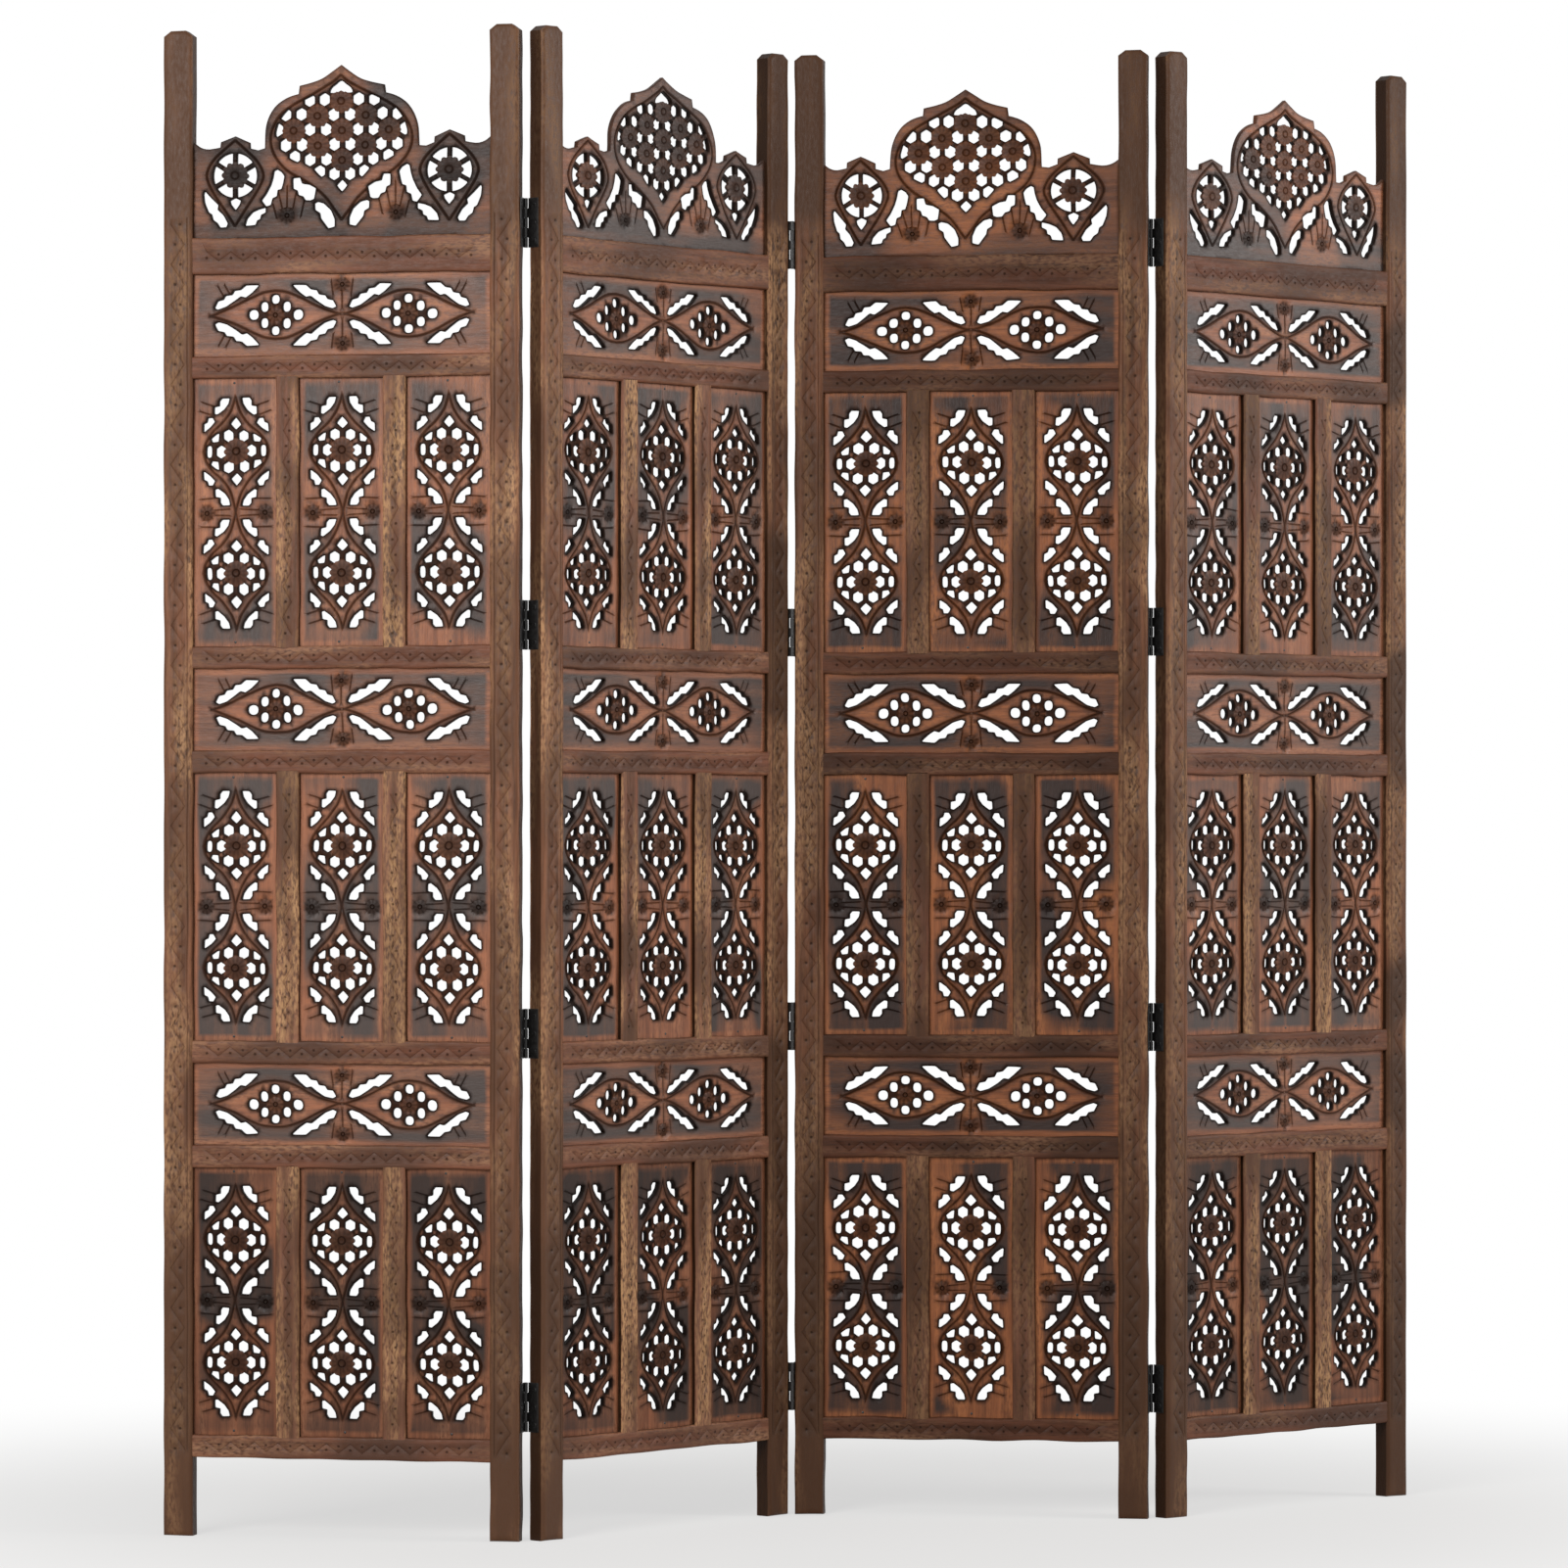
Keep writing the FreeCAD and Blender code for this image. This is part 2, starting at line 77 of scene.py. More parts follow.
# A cut is its half width and depth. A wall's char and shade is how far from the middle its dark row lies,
# and how dark that row is: partly the wood's char, partly painted shade on the walls.
SCRATCH = (0.85, 0.5)
STILE_WALL_CHAR_AND_SHADE = (7.2, 0.72)


def panel_place(panel):
    """A panel's own axes from its two stiles: a stile's axis is the middle of its box, the line from the
    left one to the right one points across, and the panel starts half a stile out."""
    left, right = ((low + high) / 2 for low, high in
                   (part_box(panel + "_left_stile"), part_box(panel + "_right_stile")))
    across = (right - left).normalized()
    start = left - across * (STILE_WIDTH / 2 * MM)
    width = (right - left).length / MM + STILE_WIDTH
    return np.array(start.xy), np.array(across.xy), width


PLACES = {panel: panel_place(panel) for panel in PANELS}
PANEL_WIDTH = PLACES["panel_1"][2]
MIDDLE = PANEL_WIDTH / 2
STILE_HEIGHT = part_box("panel_1_left_stile")[1].z / MM


def stand(points, panel):
    """Panel millimetres (across, away, up) to metres in the part's frame: the first two numbers times the
    panel's two level axes, plus its start."""
    start, across, _ = PLACES[panel]
    away = np.array((-across[1], across[0]))
    level = start + MM * (points[:, :1] * across + points[:, 1:2] * away)
    return np.column_stack([level, MM * points[:, 2]])


def legs(points, step):
    """Straight legs through the points, each cut into even steps of about the size given."""
    p = np.asarray(points, float)
    counts = np.maximum(1, np.round(np.linalg.norm(np.diff(p, axis=0), axis=1) / step)).astype(int)
    leg = np.repeat(np.arange(len(counts)), counts)
    t = (np.arange(len(leg)) - np.repeat(np.cumsum(counts) - counts, counts)) / counts[leg]
    return np.vstack([p[leg] + t[:, None] * (p[leg + 1] - p[leg]), p[-1:]])


def shut(loop):
    """A closed loop as a line that ends where it starts."""
    return np.vstack([loop, loop[:1]])


def loop_of(corners, step):
    """A closed loop of straight legs through the corners."""
    return legs(shut(np.asarray(corners, float)), step)[:-1]


def aside(line, distance):
    """The line moved to its right: every point by the distance along the normal of the chord between its
    two neighbours. A line that ends where it starts is a closed one."""
    chord = np.gradient(line, axis=0)
    if np.allclose(line[0], line[-1]):
        chord[0] = chord[-1] = line[1] - line[-2]
    chord = chord / np.maximum(np.linalg.norm(chord, axis=1, keepdims=True), 1e-9)
    return line + distance * np.column_stack([chord[:, 1], -chord[:, 0]])


def anticlockwise(loop):
    """The loop, reversed if its signed area is negative."""
    loop = np.asarray(loop, float)
    after = np.roll(loop, -1, axis=0)
    area = (loop[:, 0] * after[:, 1] - after[:, 0] * loop[:, 1]).sum()
    return loop if area > 0 else loop[::-1]


def reach(points, lines):
    """Each point's distance from the nearest leg: its projection on the leg, clipped to the leg's ends."""
    starts = np.vstack([line[:-1] for line in lines])
    runs = np.vstack([line[1:] for line in lines]) - starts
    squares = np.maximum((runs ** 2).sum(1), 1e-12)
    nearest = []
    for block in np.array_split(points, max(1, len(points) * len(starts) // BLOCK)):
        gap = block[:, None] - starts
        t = np.clip((gap * runs).sum(2) / squares, 0, 1)
        nearest.append(np.linalg.norm(gap - t[..., None] * runs, axis=2).min(1))
    return np.concatenate(nearest)


def within(points, loop):
    """Even-odd test: inside where a ray straight up crosses the loop an odd number of times."""
    a, b = loop, np.roll(loop, -1, axis=0)
    x, z = points[:, :1], points[:, 1:]
    spans = (a[:, 0] > x) != (b[:, 0] > x)
    run = b[:, 0] - a[:, 0]
    slope = (b[:, 1] - a[:, 1]) / np.where(run == 0, 1, run)
    return ((a[:, 1] + (x - a[:, 0]) * slope > z) & spans).sum(1) % 2 == 1


def circle(centre, radius, count):
    """Points on a circle, anticlockwise."""
    angle = np.linspace(0, 2 * np.pi, count, endpoint=False)
    return np.asarray(centre) + radius * np.column_stack([np.cos(angle), np.sin(angle)])


def ease(field, low, high):
    """0 below the low value, 1 above the high one, and a smooth step between them."""
    t = np.clip((field - low) / (high - low), 0, 1)
    return t * t * (3 - 2 * t)


def bloom_depth(points, centre, radius, petals, dark):
    """How deep a carved daisy lies under the face, and its char: a pit in a ring at the heart, then petals
    that round down to their tips with a notch between them. Zero outside the radius."""
    ray = points - centre
    share = np.linalg.norm(ray, axis=1) / radius
    turn = np.arctan2(ray[:, 1], ray[:, 0]) * petals / (2 * np.pi)
    notch = (2 * np.abs(turn - np.round(turn))) ** 3 * share ** 2
    ring = np.clip(1 - np.abs(share - BLOOM_RINGS[2]) / 0.1, 0, 1)
    heart = np.clip(1 - share / 0.14, 0, 1)
    depth = 0.2 + 0.9 * share ** 3 + 0.6 * notch + 0.8 * ring + 0.5 * heart
    char = dark * (1.15 - 0.35 * share ** 2) + 0.15 * ring + 0.25 * notch
    inside = share < 1.001
    return np.where(inside, depth, 0), np.where(inside, char, 0), inside


def triangles(outline, holes, lines, pitch):
    """A constrained Delaunay net over the outline less the holes: it has sides along all the lines, and
    points on a grid of the pitch where no line is near."""
    made = np.vstack(lines)
    low, high = outline.min(0), outline.max(0)
    net = np.stack(np.meshgrid(*(np.arange(a + pitch / 2, b, pitch) for a, b in zip(low, high))), -1)
    net = net.reshape(-1, 2)
    net = net[within(net, outline)]
    blocks = np.array_split(net, max(1, len(net) * len(made) // BLOCK))
    nearest = [np.linalg.norm(block[:, None] - made, axis=2).min(1) for block in blocks]
    net = net[np.concatenate(nearest) > 0.55 * pitch]
    starts = np.cumsum([0] + [len(line) for line in lines])
    sides = np.concatenate([np.column_stack([np.arange(a, b - 1), np.arange(a + 1, b)])
                            for a, b in zip(starts[:-1], starts[1:])])
    spots = [Vector(point) for point in np.vstack([made, net]).tolist()]
    flat, _, faces, *_ = delaunay_2d_cdt(spots, sides.tolist(), [], 0, 1e-3, False)
    points = np.array([tuple(point) for point in flat])
    faces = np.array(faces)
    middle = points[faces].mean(1)
    keep = within(middle, outline)
    for hole in holes:
        keep &= ~within(middle, hole[:-1])
    a, b, c = (points[faces[:, i]] for i in range(3))
    area = (b[:, 0] - a[:, 0]) * (c[:, 1] - a[:, 1]) - (c[:, 0] - a[:, 0]) * (b[:, 1] - a[:, 1])
    faces = np.where((area > 0)[:, None], faces, faces[:, ::-1])[keep & (np.abs(area) > 1e-7)]
    used, faces = np.unique(faces, return_inverse=True)
    return points[used], faces.reshape(-1, 3)


def carve(outline, holes=(), cuts=(), dots=(), blooms=(), arris=0.0, rubbed=0.0, burnt=0.0, edges=None,
          pitch=4.0):
    """One carved face in millimetres. The depth of a point under the face is the deepest of: a quarter
    round at the edges (the whole outline if none are named), a bevel at the holes, a V in each cut, a bowl
    in each dot and the petals of each bloom. Char is 1 at holes, high in the cuts and over the burnt width
    of the edges; below nought it is wear, which fades from the edges over the rubbed width."""
    outline = anticlockwise(outline)
    holes = [shut(anticlockwise(hole)) for hole in holes]
    edges = edges or [shut(outline)]
    lines = [shut(outline)] + holes
    if arris:
        insets = [share * arris for share in (0.12, 0.42, 1.0)] + ([rubbed] if rubbed > arris else [])
        lines += [aside(edge, -inset) for edge in edges for inset in insets]
    lines += [aside(hole, BEVEL_WIDTH) for hole in holes]
    for line, half, _ in cuts:
        lines += [line, aside(line, half), aside(line, -half)]
    for centre, radius in dots:
        lines += [shut(circle(centre, radius, 9)), shut(circle(centre, radius * 0.4, 5))]
    for centre, radius, petals, _ in blooms:
        lines += [shut(circle(centre, radius * share, 2 * petals)) for share in BLOOM_RINGS]
    points, faces = triangles(outline, holes, lines, pitch)
    depth, char = np.zeros(len(points)), np.zeros(len(points))
    if arris:
        gap = reach(points, edges)
        inset = np.clip(arris - gap, 0, arris)
        depth = arris - np.sqrt(arris ** 2 - inset ** 2)
        char = -0.8 * np.clip(1 - gap / rubbed, 0, 1) if rubbed else char
        char = 0.7 * np.exp(-(gap / burnt) ** 2) if burnt else char
    if holes:
        gap = reach(points, holes)
        depth = np.maximum(depth, BEVEL_DEPTH * np.clip(1 - gap / BEVEL_WIDTH, 0, 1) ** 1.5)
        char = np.maximum(char, np.exp(-(np.maximum(gap - SCORCH_RIM, 0) / SCORCH_FADE) ** 1.7))
    for half, cut_depth in sorted({cut[1:] for cut in cuts}):
        gap = reach(points, [line for line, *size in cuts if tuple(size) == (half, cut_depth)])
        depth = np.maximum(depth, cut_depth * np.clip(1 - gap / half, 0, 1))
        dark = min(0.85, 0.8 * cut_depth)
        char = np.maximum(char, dark * np.clip(1 - gap / (1.8 * half), 0, 1) ** 0.8)
    for centre, radius in dots:
        share = np.linalg.norm(points - centre, axis=1) / radius
        depth = np.maximum(depth, DOT_DEPTH * np.clip(1 - share ** 2, 0, 1))
        char = np.maximum(char, 0.9 * np.clip(1.25 - share, 0, 1))
    for bloom in blooms:
        sunk, dark, inside = bloom_depth(points, *bloom)
        depth = np.maximum(depth, sunk)
        char = np.where(inside, np.maximum(0.6 * char, dark), char)
    return points, faces, depth, np.clip(char, -1, 1)


def slab(face, half, row=0.0, wall_char_and_shade=0.0):
    """A closed board from one carved face: the face in front, its mirror image behind, and a wall for every
    edge that only one triangle uses, with a row of darkened points as far before the middle as behind it:
    partly char, partly painted shade on the walls."""
    points, faces, depth, char = face
    count = len(points)
    sides = faces[:, [0, 1, 1, 2, 2, 0]].reshape(-1, 2)
    _, first, uses = np.unique(np.sort(sides, axis=1), axis=0, return_index=True, return_counts=True)
    rim = sides[first[uses == 1]]
    own = np.unique(rim)
    a, b = np.searchsorted(own, rim).T
    rows = (-row, row) if row else ()
    between = [2 * count + i * len(own) + np.arange(len(own)) for i in range(len(rows))]
    levels = [own] + between + [own + count]
    walls = np.concatenate([np.column_stack([near[a], far[a], far[b], near[b]])
                            for near, far in zip(levels[:-1], levels[1:])])
    layers = [(points, depth - half), (points, half - depth)]
    layers += [(points[own], np.full(len(own), level)) for level in rows]
    solid_points = np.vstack([np.column_stack([flat[:, 0], away, flat[:, 1]]) for flat, away in layers])
    char = np.concatenate([char, char, np.full(len(rows) * len(own), wall_char_and_shade)])
    return solid_points, np.vstack([faces, faces[:, ::-1] + count]), walls, char


def waves(points, rng, lengths, count=5):
    """A smooth random field from 0 to 1: the mean of a few sine waves of random heading and phase, with
    wavelengths drawn between the two lengths."""
    heading = rng.uniform(0, np.pi, count)
    length = rng.uniform(*lengths, count)
    phase = rng.uniform(0, 2 * np.pi, count)
    along = points[:, :1] * np.cos(heading) + points[:, 1:] * np.sin(heading)
    return 0.5 + 0.5 * np.clip(np.sin(2 * np.pi * along / length + phase).mean(1) * 1.8, -1, 1)


def clouds(points, rng, lengths=(80, 420), start=0.4, full=0.9):
    """Smoke in patches: long waves, eased from nothing at the start level to one at the full level."""
    return ease(waves(points, rng, lengths), start, full)


def frame_smoke(points, rng):
    """The smoke of the short pieces of the frame: clouds, three quarters grey at the most."""
    return 0.75 * clouds(points, rng)


def solid(shape, at, rng, upright, drift, smoke=frame_smoke, turn=NO_TURN):
    """One wooden piece set in its panel: turned by half turns, its points slid up to the drift by long
    waves as a hand-held saw strays, and carried to its place. Grain is (along, across, through) in
    millimetres from a random start in the log. Smoke is how far the flame has greyed it, and on some
    pieces also painted shade."""
    points, faces, walls, char = shape
    points = points * np.array(turn)
    flat = points[:, [0, 2]]
    grey = np.clip(smoke(flat, rng), 0, 1)
    across, up = (drift * (2 * waves(flat, rng, STRAY_WAVES) - 1) for _ in range(2))
    points = points + np.column_stack([across, np.zeros(len(points)), up])
    grain = points[:, [2, 0, 1] if upright else [0, 2, 1]] + rng.uniform(-LOG_HALF, LOG_HALF, 3)
    return points + np.array(at), faces, walls, char, grey, grain


def add_object(name, data):
    """A new object in the scene, at the origin."""
    thing = bpy.data.objects.new(name, data)
    bpy.context.scene.collection.objects.link(thing)
    return thing


def make_piece(name, solids, panel, material, slot, *nodes):
    """One mesh object of several closed solids, standing in its panel, with the char, smoke and grain of
    every point as attributes; on some pieces char and smoke also carry painted shade. It rides on the panel
    and stands for the CAD nodes named."""
    counts = np.cumsum([0] + [len(part[0]) for part in solids])
    tris, quads = (np.concatenate([part[i] + start for part, start in zip(solids, counts)]) for i in (1, 2))
    points, char, smoke, grain = (np.concatenate([part[i] for part in solids]) for i in (0, 3, 4, 5))
    corners = np.concatenate([tris.ravel(), quads.ravel()])
    firsts = np.concatenate([np.arange(len(tris)) * 3, tris.size + np.arange(len(quads)) * 4])
    mesh = bpy.data.meshes.new(name)
    mesh.vertices.add(len(points))
    mesh.loops.add(len(corners))
    mesh.polygons.add(len(firsts))
    mesh.vertices.foreach_set("co", stand(points, panel).astype(np.float32).ravel())
    mesh.loops.foreach_set("vertex_index", corners.astype(np.int32))
    mesh.polygons.foreach_set("loop_start", firsts.astype(np.int32))
    for key, kind, field, values in (("char", "FLOAT", "value", char), ("smoke", "FLOAT", "value", smoke),
                                     ("grain", "FLOAT_VECTOR", "vector", grain)):
        layer = mesh.attributes.new(key, kind, "POINT")
        layer.data.foreach_set(field, values.astype(np.float32).ravel())
    mesh.update(calc_edges=True)
    mesh.validate()
    mesh.shade_smooth()
    mesh.set_sharp_from_angle(angle=CREASE)
    mesh.materials.append(material)
    piece = add_object(name, mesh)
    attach(piece, panel)
    if nodes:
        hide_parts(*nodes)


def linear(code, dim=1.0):
    """An sRGB hex colour as linear RGBA, dimmed by a factor."""
    share = np.array([int(code[i:i + 2], 16) for i in (1, 3, 5)]) / 255
    light = np.where(share <= 0.04045, share / 12.92, ((share + 0.055) / 1.055) ** 2.4)
    return (*(dim * light).tolist(), 1.0)


def bare_tree(owner):
    """The emptied node tree of a new material or world."""
    owner.use_nodes = True
    owner.node_tree.nodes.clear()
    return owner.node_tree


def add_node(tree, kind, inputs, **settings):
    """One shader node with its own settings; inputs gives sockets a plain value or another node's output."""
    node = tree.nodes.new("ShaderNode" + kind)
    for key, setting in settings.items():
        setattr(node, key, setting)
    for socket, given in inputs.items():
        if isinstance(given, bpy.types.NodeSocket):
            tree.links.new(given, node.inputs[socket])
        else:
            node.inputs[socket].default_value = given
    return node


# The figure of mango wood: millimetres along and across the grain, and how many finer layers it has.
FIGURE = {"streak": (120, 6, 4), "fibre": (16, 0.9, 2), "patch": (150, 22, 3), "fleck": (7, 2.6, 3)}


def scorched_mango(name, pale, body, deep, grey, burnt, worn, bare=0.45, dim=1.0, matt=(0.42, 0.62),
                   sheen=0.25):
    """Mango wood, stained, singed with a torch and waxed: streaky, paler in patches and on arrises where the
    stain has rubbed off round dark chips, grey where the flame passed, near black along every cut, and with
    a soft, broken gloss. The grey and the near black also stand for painted shade where the smoke and char
    attributes carry it. Worn is how pale the rubbed patches are, bare the level of the patchy noise where
    they start, dim a factor on every colour, matt the range of the roughness and sheen the wax's shine."""
    pale, body, deep, grey, burnt = (linear(code, dim) for code in (pale, body, deep, grey, burnt))
    material = bpy.data.materials.new(name)
    node = partial(add_node, bare_tree(material))
    field = {key: node("Attribute", {}, attribute_name=key).outputs[kind]
             for key, kind in (("grain", "Vector"), ("char", "Fac"), ("smoke", "Fac"))}
    for key, (along, across, layers) in FIGURE.items():
        spread = node("Mapping", {"Vector": field["grain"], "Scale": (1 / along, 1 / across, 1 / across)})
        noise = node("TexNoise", {"Vector": spread.outputs[0], "Scale": 1.0, "Detail": layers})
        field[key] = noise.outputs["Fac"]
    for key, source, *levels in (
            ("streaky", "streak", 0.32, 0.66, 0, 1), ("bared", "patch", bare, bare + 0.23, 0, worn),
            ("edge", "char", -0.1, -0.7, 0, 0.8), ("speck", "fleck", 0.42, 0.6, 0.25, 1),
            ("chip", "fleck", 0.44, 0.34, 0, 0.7), ("hair", "fibre", 0.55, 0.74, 0, 0.4),
            ("uneven", "patch", 0.3, 0.7, 1.15, 0.75), ("rough", "fleck", 0.3, 0.7, *matt),
            ("wax", "char", 0.35, 0.95, sheen * dim, 0.05)):
        field[key] = node("MapRange", {0: field[source], **dict(enumerate(levels, 1))}).outputs[0]
    for key, first, second, operation in (
            ("rubbed", "bared", "edge", "MAXIMUM"), ("lit", "rubbed", "speck", "MULTIPLY"),
            ("chipped", "rubbed", "chip", "MULTIPLY"), ("singed", "smoke", "uneven", "MULTIPLY")):
        pair = {0: field[first], 1: field[second]}
        field[key] = node("Math", pair, operation=operation, use_clamp=True).outputs[0]
    tone = node("Mix", {0: field["streaky"], 6: deep, 7: body}, data_type="RGBA").outputs[2]
    coats = {"lit": pale, "chipped": burnt, "hair": burnt, "singed": grey, "char": burnt}
    for key, colour in coats.items():
        tone = node("Mix", {0: field[key], 6: tone, 7: colour}, data_type="RGBA").outputs[2]
    relief = node("Math", {0: field["fibre"], 1: field["fleck"]}, operation="ADD").outputs[0]
    bump = node("Bump", {"Height": relief, "Strength": 0.4, "Distance": 0.5 * MM}).outputs[0]
    shader = node("BsdfPrincipled", {"Base Color": tone, "Roughness": field["rough"], "Normal": bump,
                                     "Specular IOR Level": field["wax"]})
    node("OutputMaterial", {"Surface": shader.outputs[0]})
    return material


def finish(name, brown, dark, **tones):
    """One finish in three shades: the usual one, a browner one and a darker one, by the tones that differ.
    Some pieces take a dimmer copy as painted shade.
    """
    changes = {"usual": {}, "brown": brown, "dark": dark}
    return {shade: scorched_mango(f"{name}_{shade}", **{**tones, **change})
            for shade, change in changes.items()}


# Stile timber: brown stain, rubbed back to tan on the arrises and in patches, so that it looks handled.
FRAME_WOOD = finish("mango_frame_stained_singed_waxed", {"dim": 0.72}, {"dim": 0.82}, pale="#bf9168",
                    body="#8b5b40", deep="#573520", grey="#52341f", burnt="#1f120a", worn=0.9, bare=0.42)
SHADES = dict(zip(PANELS, ("usual", "usual", "brown", "dark")))


def zigzag(width, step, first, last):
    """Points of an even zigzag up a face, and a dot in the mouth of every angle."""
    heights = np.arange(first, last, step)
    sides = width / 2 * (-1.0) ** np.arange(len(heights))
    dots = np.column_stack([-0.4 * sides, heights])
    return np.column_stack([sides, heights]), dots


def stile_face():
    """The stile's outline about its own axis, hips at the top, with the zigzag and a line beside it."""
    half, shoulder = STILE_WIDTH / 2, STILE_HEIGHT - HIP_HEIGHT
    outline = loop_of([(-half, 0), (half, 0), (half, shoulder), (half - HIP_WIDTH, STILE_HEIGHT),
                       (HIP_WIDTH - half, STILE_HEIGHT), (-half, shoulder)], 9)
    corners, dots = zigzag(ZIGZAG_WIDTH, ZIGZAG_STEP, ZIGZAG_FOOT, ZIGZAG_HEAD)
    edge_line = [(EDGE_LINE, end) for end in (ZIGZAG_FOOT, ZIGZAG_HEAD)]
    cuts = [(legs(corners, 6), *SCRATCH), (legs(edge_line, 14), *SCRATCH)]
    return carve(outline, cuts=cuts, dots=[(dot, STILE_DOT) for dot in dots], arris=STILE_ARRIS,
                 rubbed=STILE_RUB, pitch=11)


def stile_smoke(points, rng, heavy):
    """Grey over the plain head above the zigzag, down to the foot and in long clouds. Heavy scales the
    clouds: the wood's smoke, and on the right stiles of the second and fourth panels more of it as painted
    shade."""
    ends = ease(points[:, 1], ZIGZAG_HEAD - 40, ZIGZAG_HEAD + 60) + ease(-points[:, 1], -650, -150)
    return 0.95 * ends + heavy * clouds(points, rng)


# The stiles' walls carry a dark row: partly char, partly painted shade.
stile = slab(stile_face(), STILE_DEPTH / 2, *STILE_WALL_CHAR_AND_SHADE)
for number, panel in enumerate(PANELS):
    for side, across, turn in (("left", STILE_WIDTH / 2, NO_TURN),
                               ("right", PANEL_WIDTH - STILE_WIDTH / 2, (-1, -1, 1))):
        rng = np.random.default_rng(100 + 2 * number + (side == "right"))
        # The right stiles of the second and fourth panels take more smoke and the dimmer brown copy of the
        # finish: painted shade.
        in_painted_shade = side == "right" and panel in ("panel_2", "panel_4")
        smoke = partial(stile_smoke, heavy=STILE_SMOKE_AND_SHADE[in_painted_shade])
        part = solid(stile, (across, 0, 0), rng, True, STILE_DRIFT, smoke, turn)
        name = f"{panel}_{side}_stile"
        shade = "brown" if in_painted_shade else SHADES[panel]
        make_piece(name + "_wood", [part], panel, FRAME_WOOD[shade], "frame_wood", name)

# Rails: six cross bars and a taller head rail between the stiles of each panel, the same wood,
# a little thinner, tenoned into the stiles. Each has its own small zigzag with dots.
RAIL_DEPTH = 18.0
RAIL_HEIGHT = 25.0
HEAD_RAIL_HEIGHT = 40.0
RAIL_SEAT = 2.0
RAIL_ARRIS = 2.2
RAIL_RUB = 4.0
# The rails' walls carry a dark row: partly char, partly painted shade.
RAIL_WALL_CHAR_AND_SHADE = (6.6, 0.9)
RAIL_DRIFT = 0.8
RAIL_ZIGZAG = (10.0, 13.5)
RAIL_MARGIN = 16.0
SMALL_DOT = 1.9
FOOT_HEIGHT = 86.0
BAY_HEIGHT = 293.0
FRIEZE_HEIGHT = 89.0
BAYS = ("lower", "middle", "upper")
BAY_STEP = BAY_HEIGHT + FRIEZE_HEIGHT + 2 * RAIL_HEIGHT
BAY_FEET = [FOOT_HEIGHT + bay * BAY_STEP for bay in range(len(BAYS))]
HEAD_RAIL_FOOT = FOOT_HEIGHT + len(BAYS) * BAY_STEP
OPENING = PANEL_WIDTH - 2 * STILE_WIDTH
# Rail timber: the same brown stain, less rubbed, so that it stays a dark and even brown.
RAIL_WOOD = finish("mango_rail_stained_singed_waxed", {"dim": 0.54}, {"dim": 0.82}, pale="#ab8060",
                   body="#7c4c36", deep="#583320", grey="#4a2f20", burnt="#1f120a", worn=0.65)


def bar_face(half, rise, way, run, zigzag_size, arris, rubbed):
    """A bar's face about its middle: two long edges, and a zigzag with dots that runs as far both ways from
    the middle. The way is 1 for a bar that stands and -1 for one that lies, which swaps across and up."""
    edges = [legs([(way * s * half, -s * rise), (s * half, way * s * rise)], 12) for s in (1, -1)]
    corners, dots = (line[:, ::way] for line in zigzag(*zigzag_size, -run, run))
    return carve(np.vstack(edges), cuts=[(legs(corners, 6), *SCRATCH)],
                 dots=[(dot, SMALL_DOT) for dot in dots], arris=arris, rubbed=rubbed, edges=edges, pitch=9)


rail, head_rail = (
    slab(bar_face(OPENING / 2 + RAIL_SEAT, height / 2, -1, OPENING / 2 - RAIL_MARGIN, RAIL_ZIGZAG,
                  RAIL_ARRIS, RAIL_RUB), RAIL_DEPTH / 2, *RAIL_WALL_CHAR_AND_SHADE)
    for height in (RAIL_HEIGHT, HEAD_RAIL_HEIGHT))
for number, panel in enumerate(PANELS):
    rng = np.random.default_rng(200 + number)
    feet = [foot + rise for foot in BAY_FEET for rise in (0, RAIL_HEIGHT + BAY_HEIGHT)]
    parts = [solid(rail, (MIDDLE, 0, foot + RAIL_HEIGHT / 2), rng, False, RAIL_DRIFT) for foot in feet]
    head = solid(head_rail, (MIDDLE, 0, HEAD_RAIL_FOOT + HEAD_RAIL_HEIGHT / 2), rng, False, RAIL_DRIFT)
    for name, solids in ((panel + "_rails", parts), (panel + "_head_rail", [head])):
        make_piece(name + "_wood", solids, panel, RAIL_WOOD[SHADES[panel]], "frame_wood", name)

# Mullions: two short uprights in each bay, between the rails, grooved for the boards on both edges. Their
# arrises are only just eased, and they are rubbed paler than the rest of the frame.
MULLION_WIDTH = 26.0
MULLION_ARRIS = 1.9
MULLION_RUB = 6.0
# The mullions' walls carry a dark row: partly char, partly painted shade.
MULLION_WALL_CHAR_AND_SHADE = (7.0, 0.95)
MULLION_DRIFT = 0.7
MULLION_ZIGZAG = (9.0, 17.0)
MULLION_MARGIN = 14.0
LATTICE_WIDTH = (OPENING - 2 * MULLION_WIDTH) / 3
MULLION_STEP = LATTICE_WIDTH + MULLION_WIDTH
BAY_MIDDLES = [foot + RAIL_HEIGHT + BAY_HEIGHT / 2 for foot in BAY_FEET]
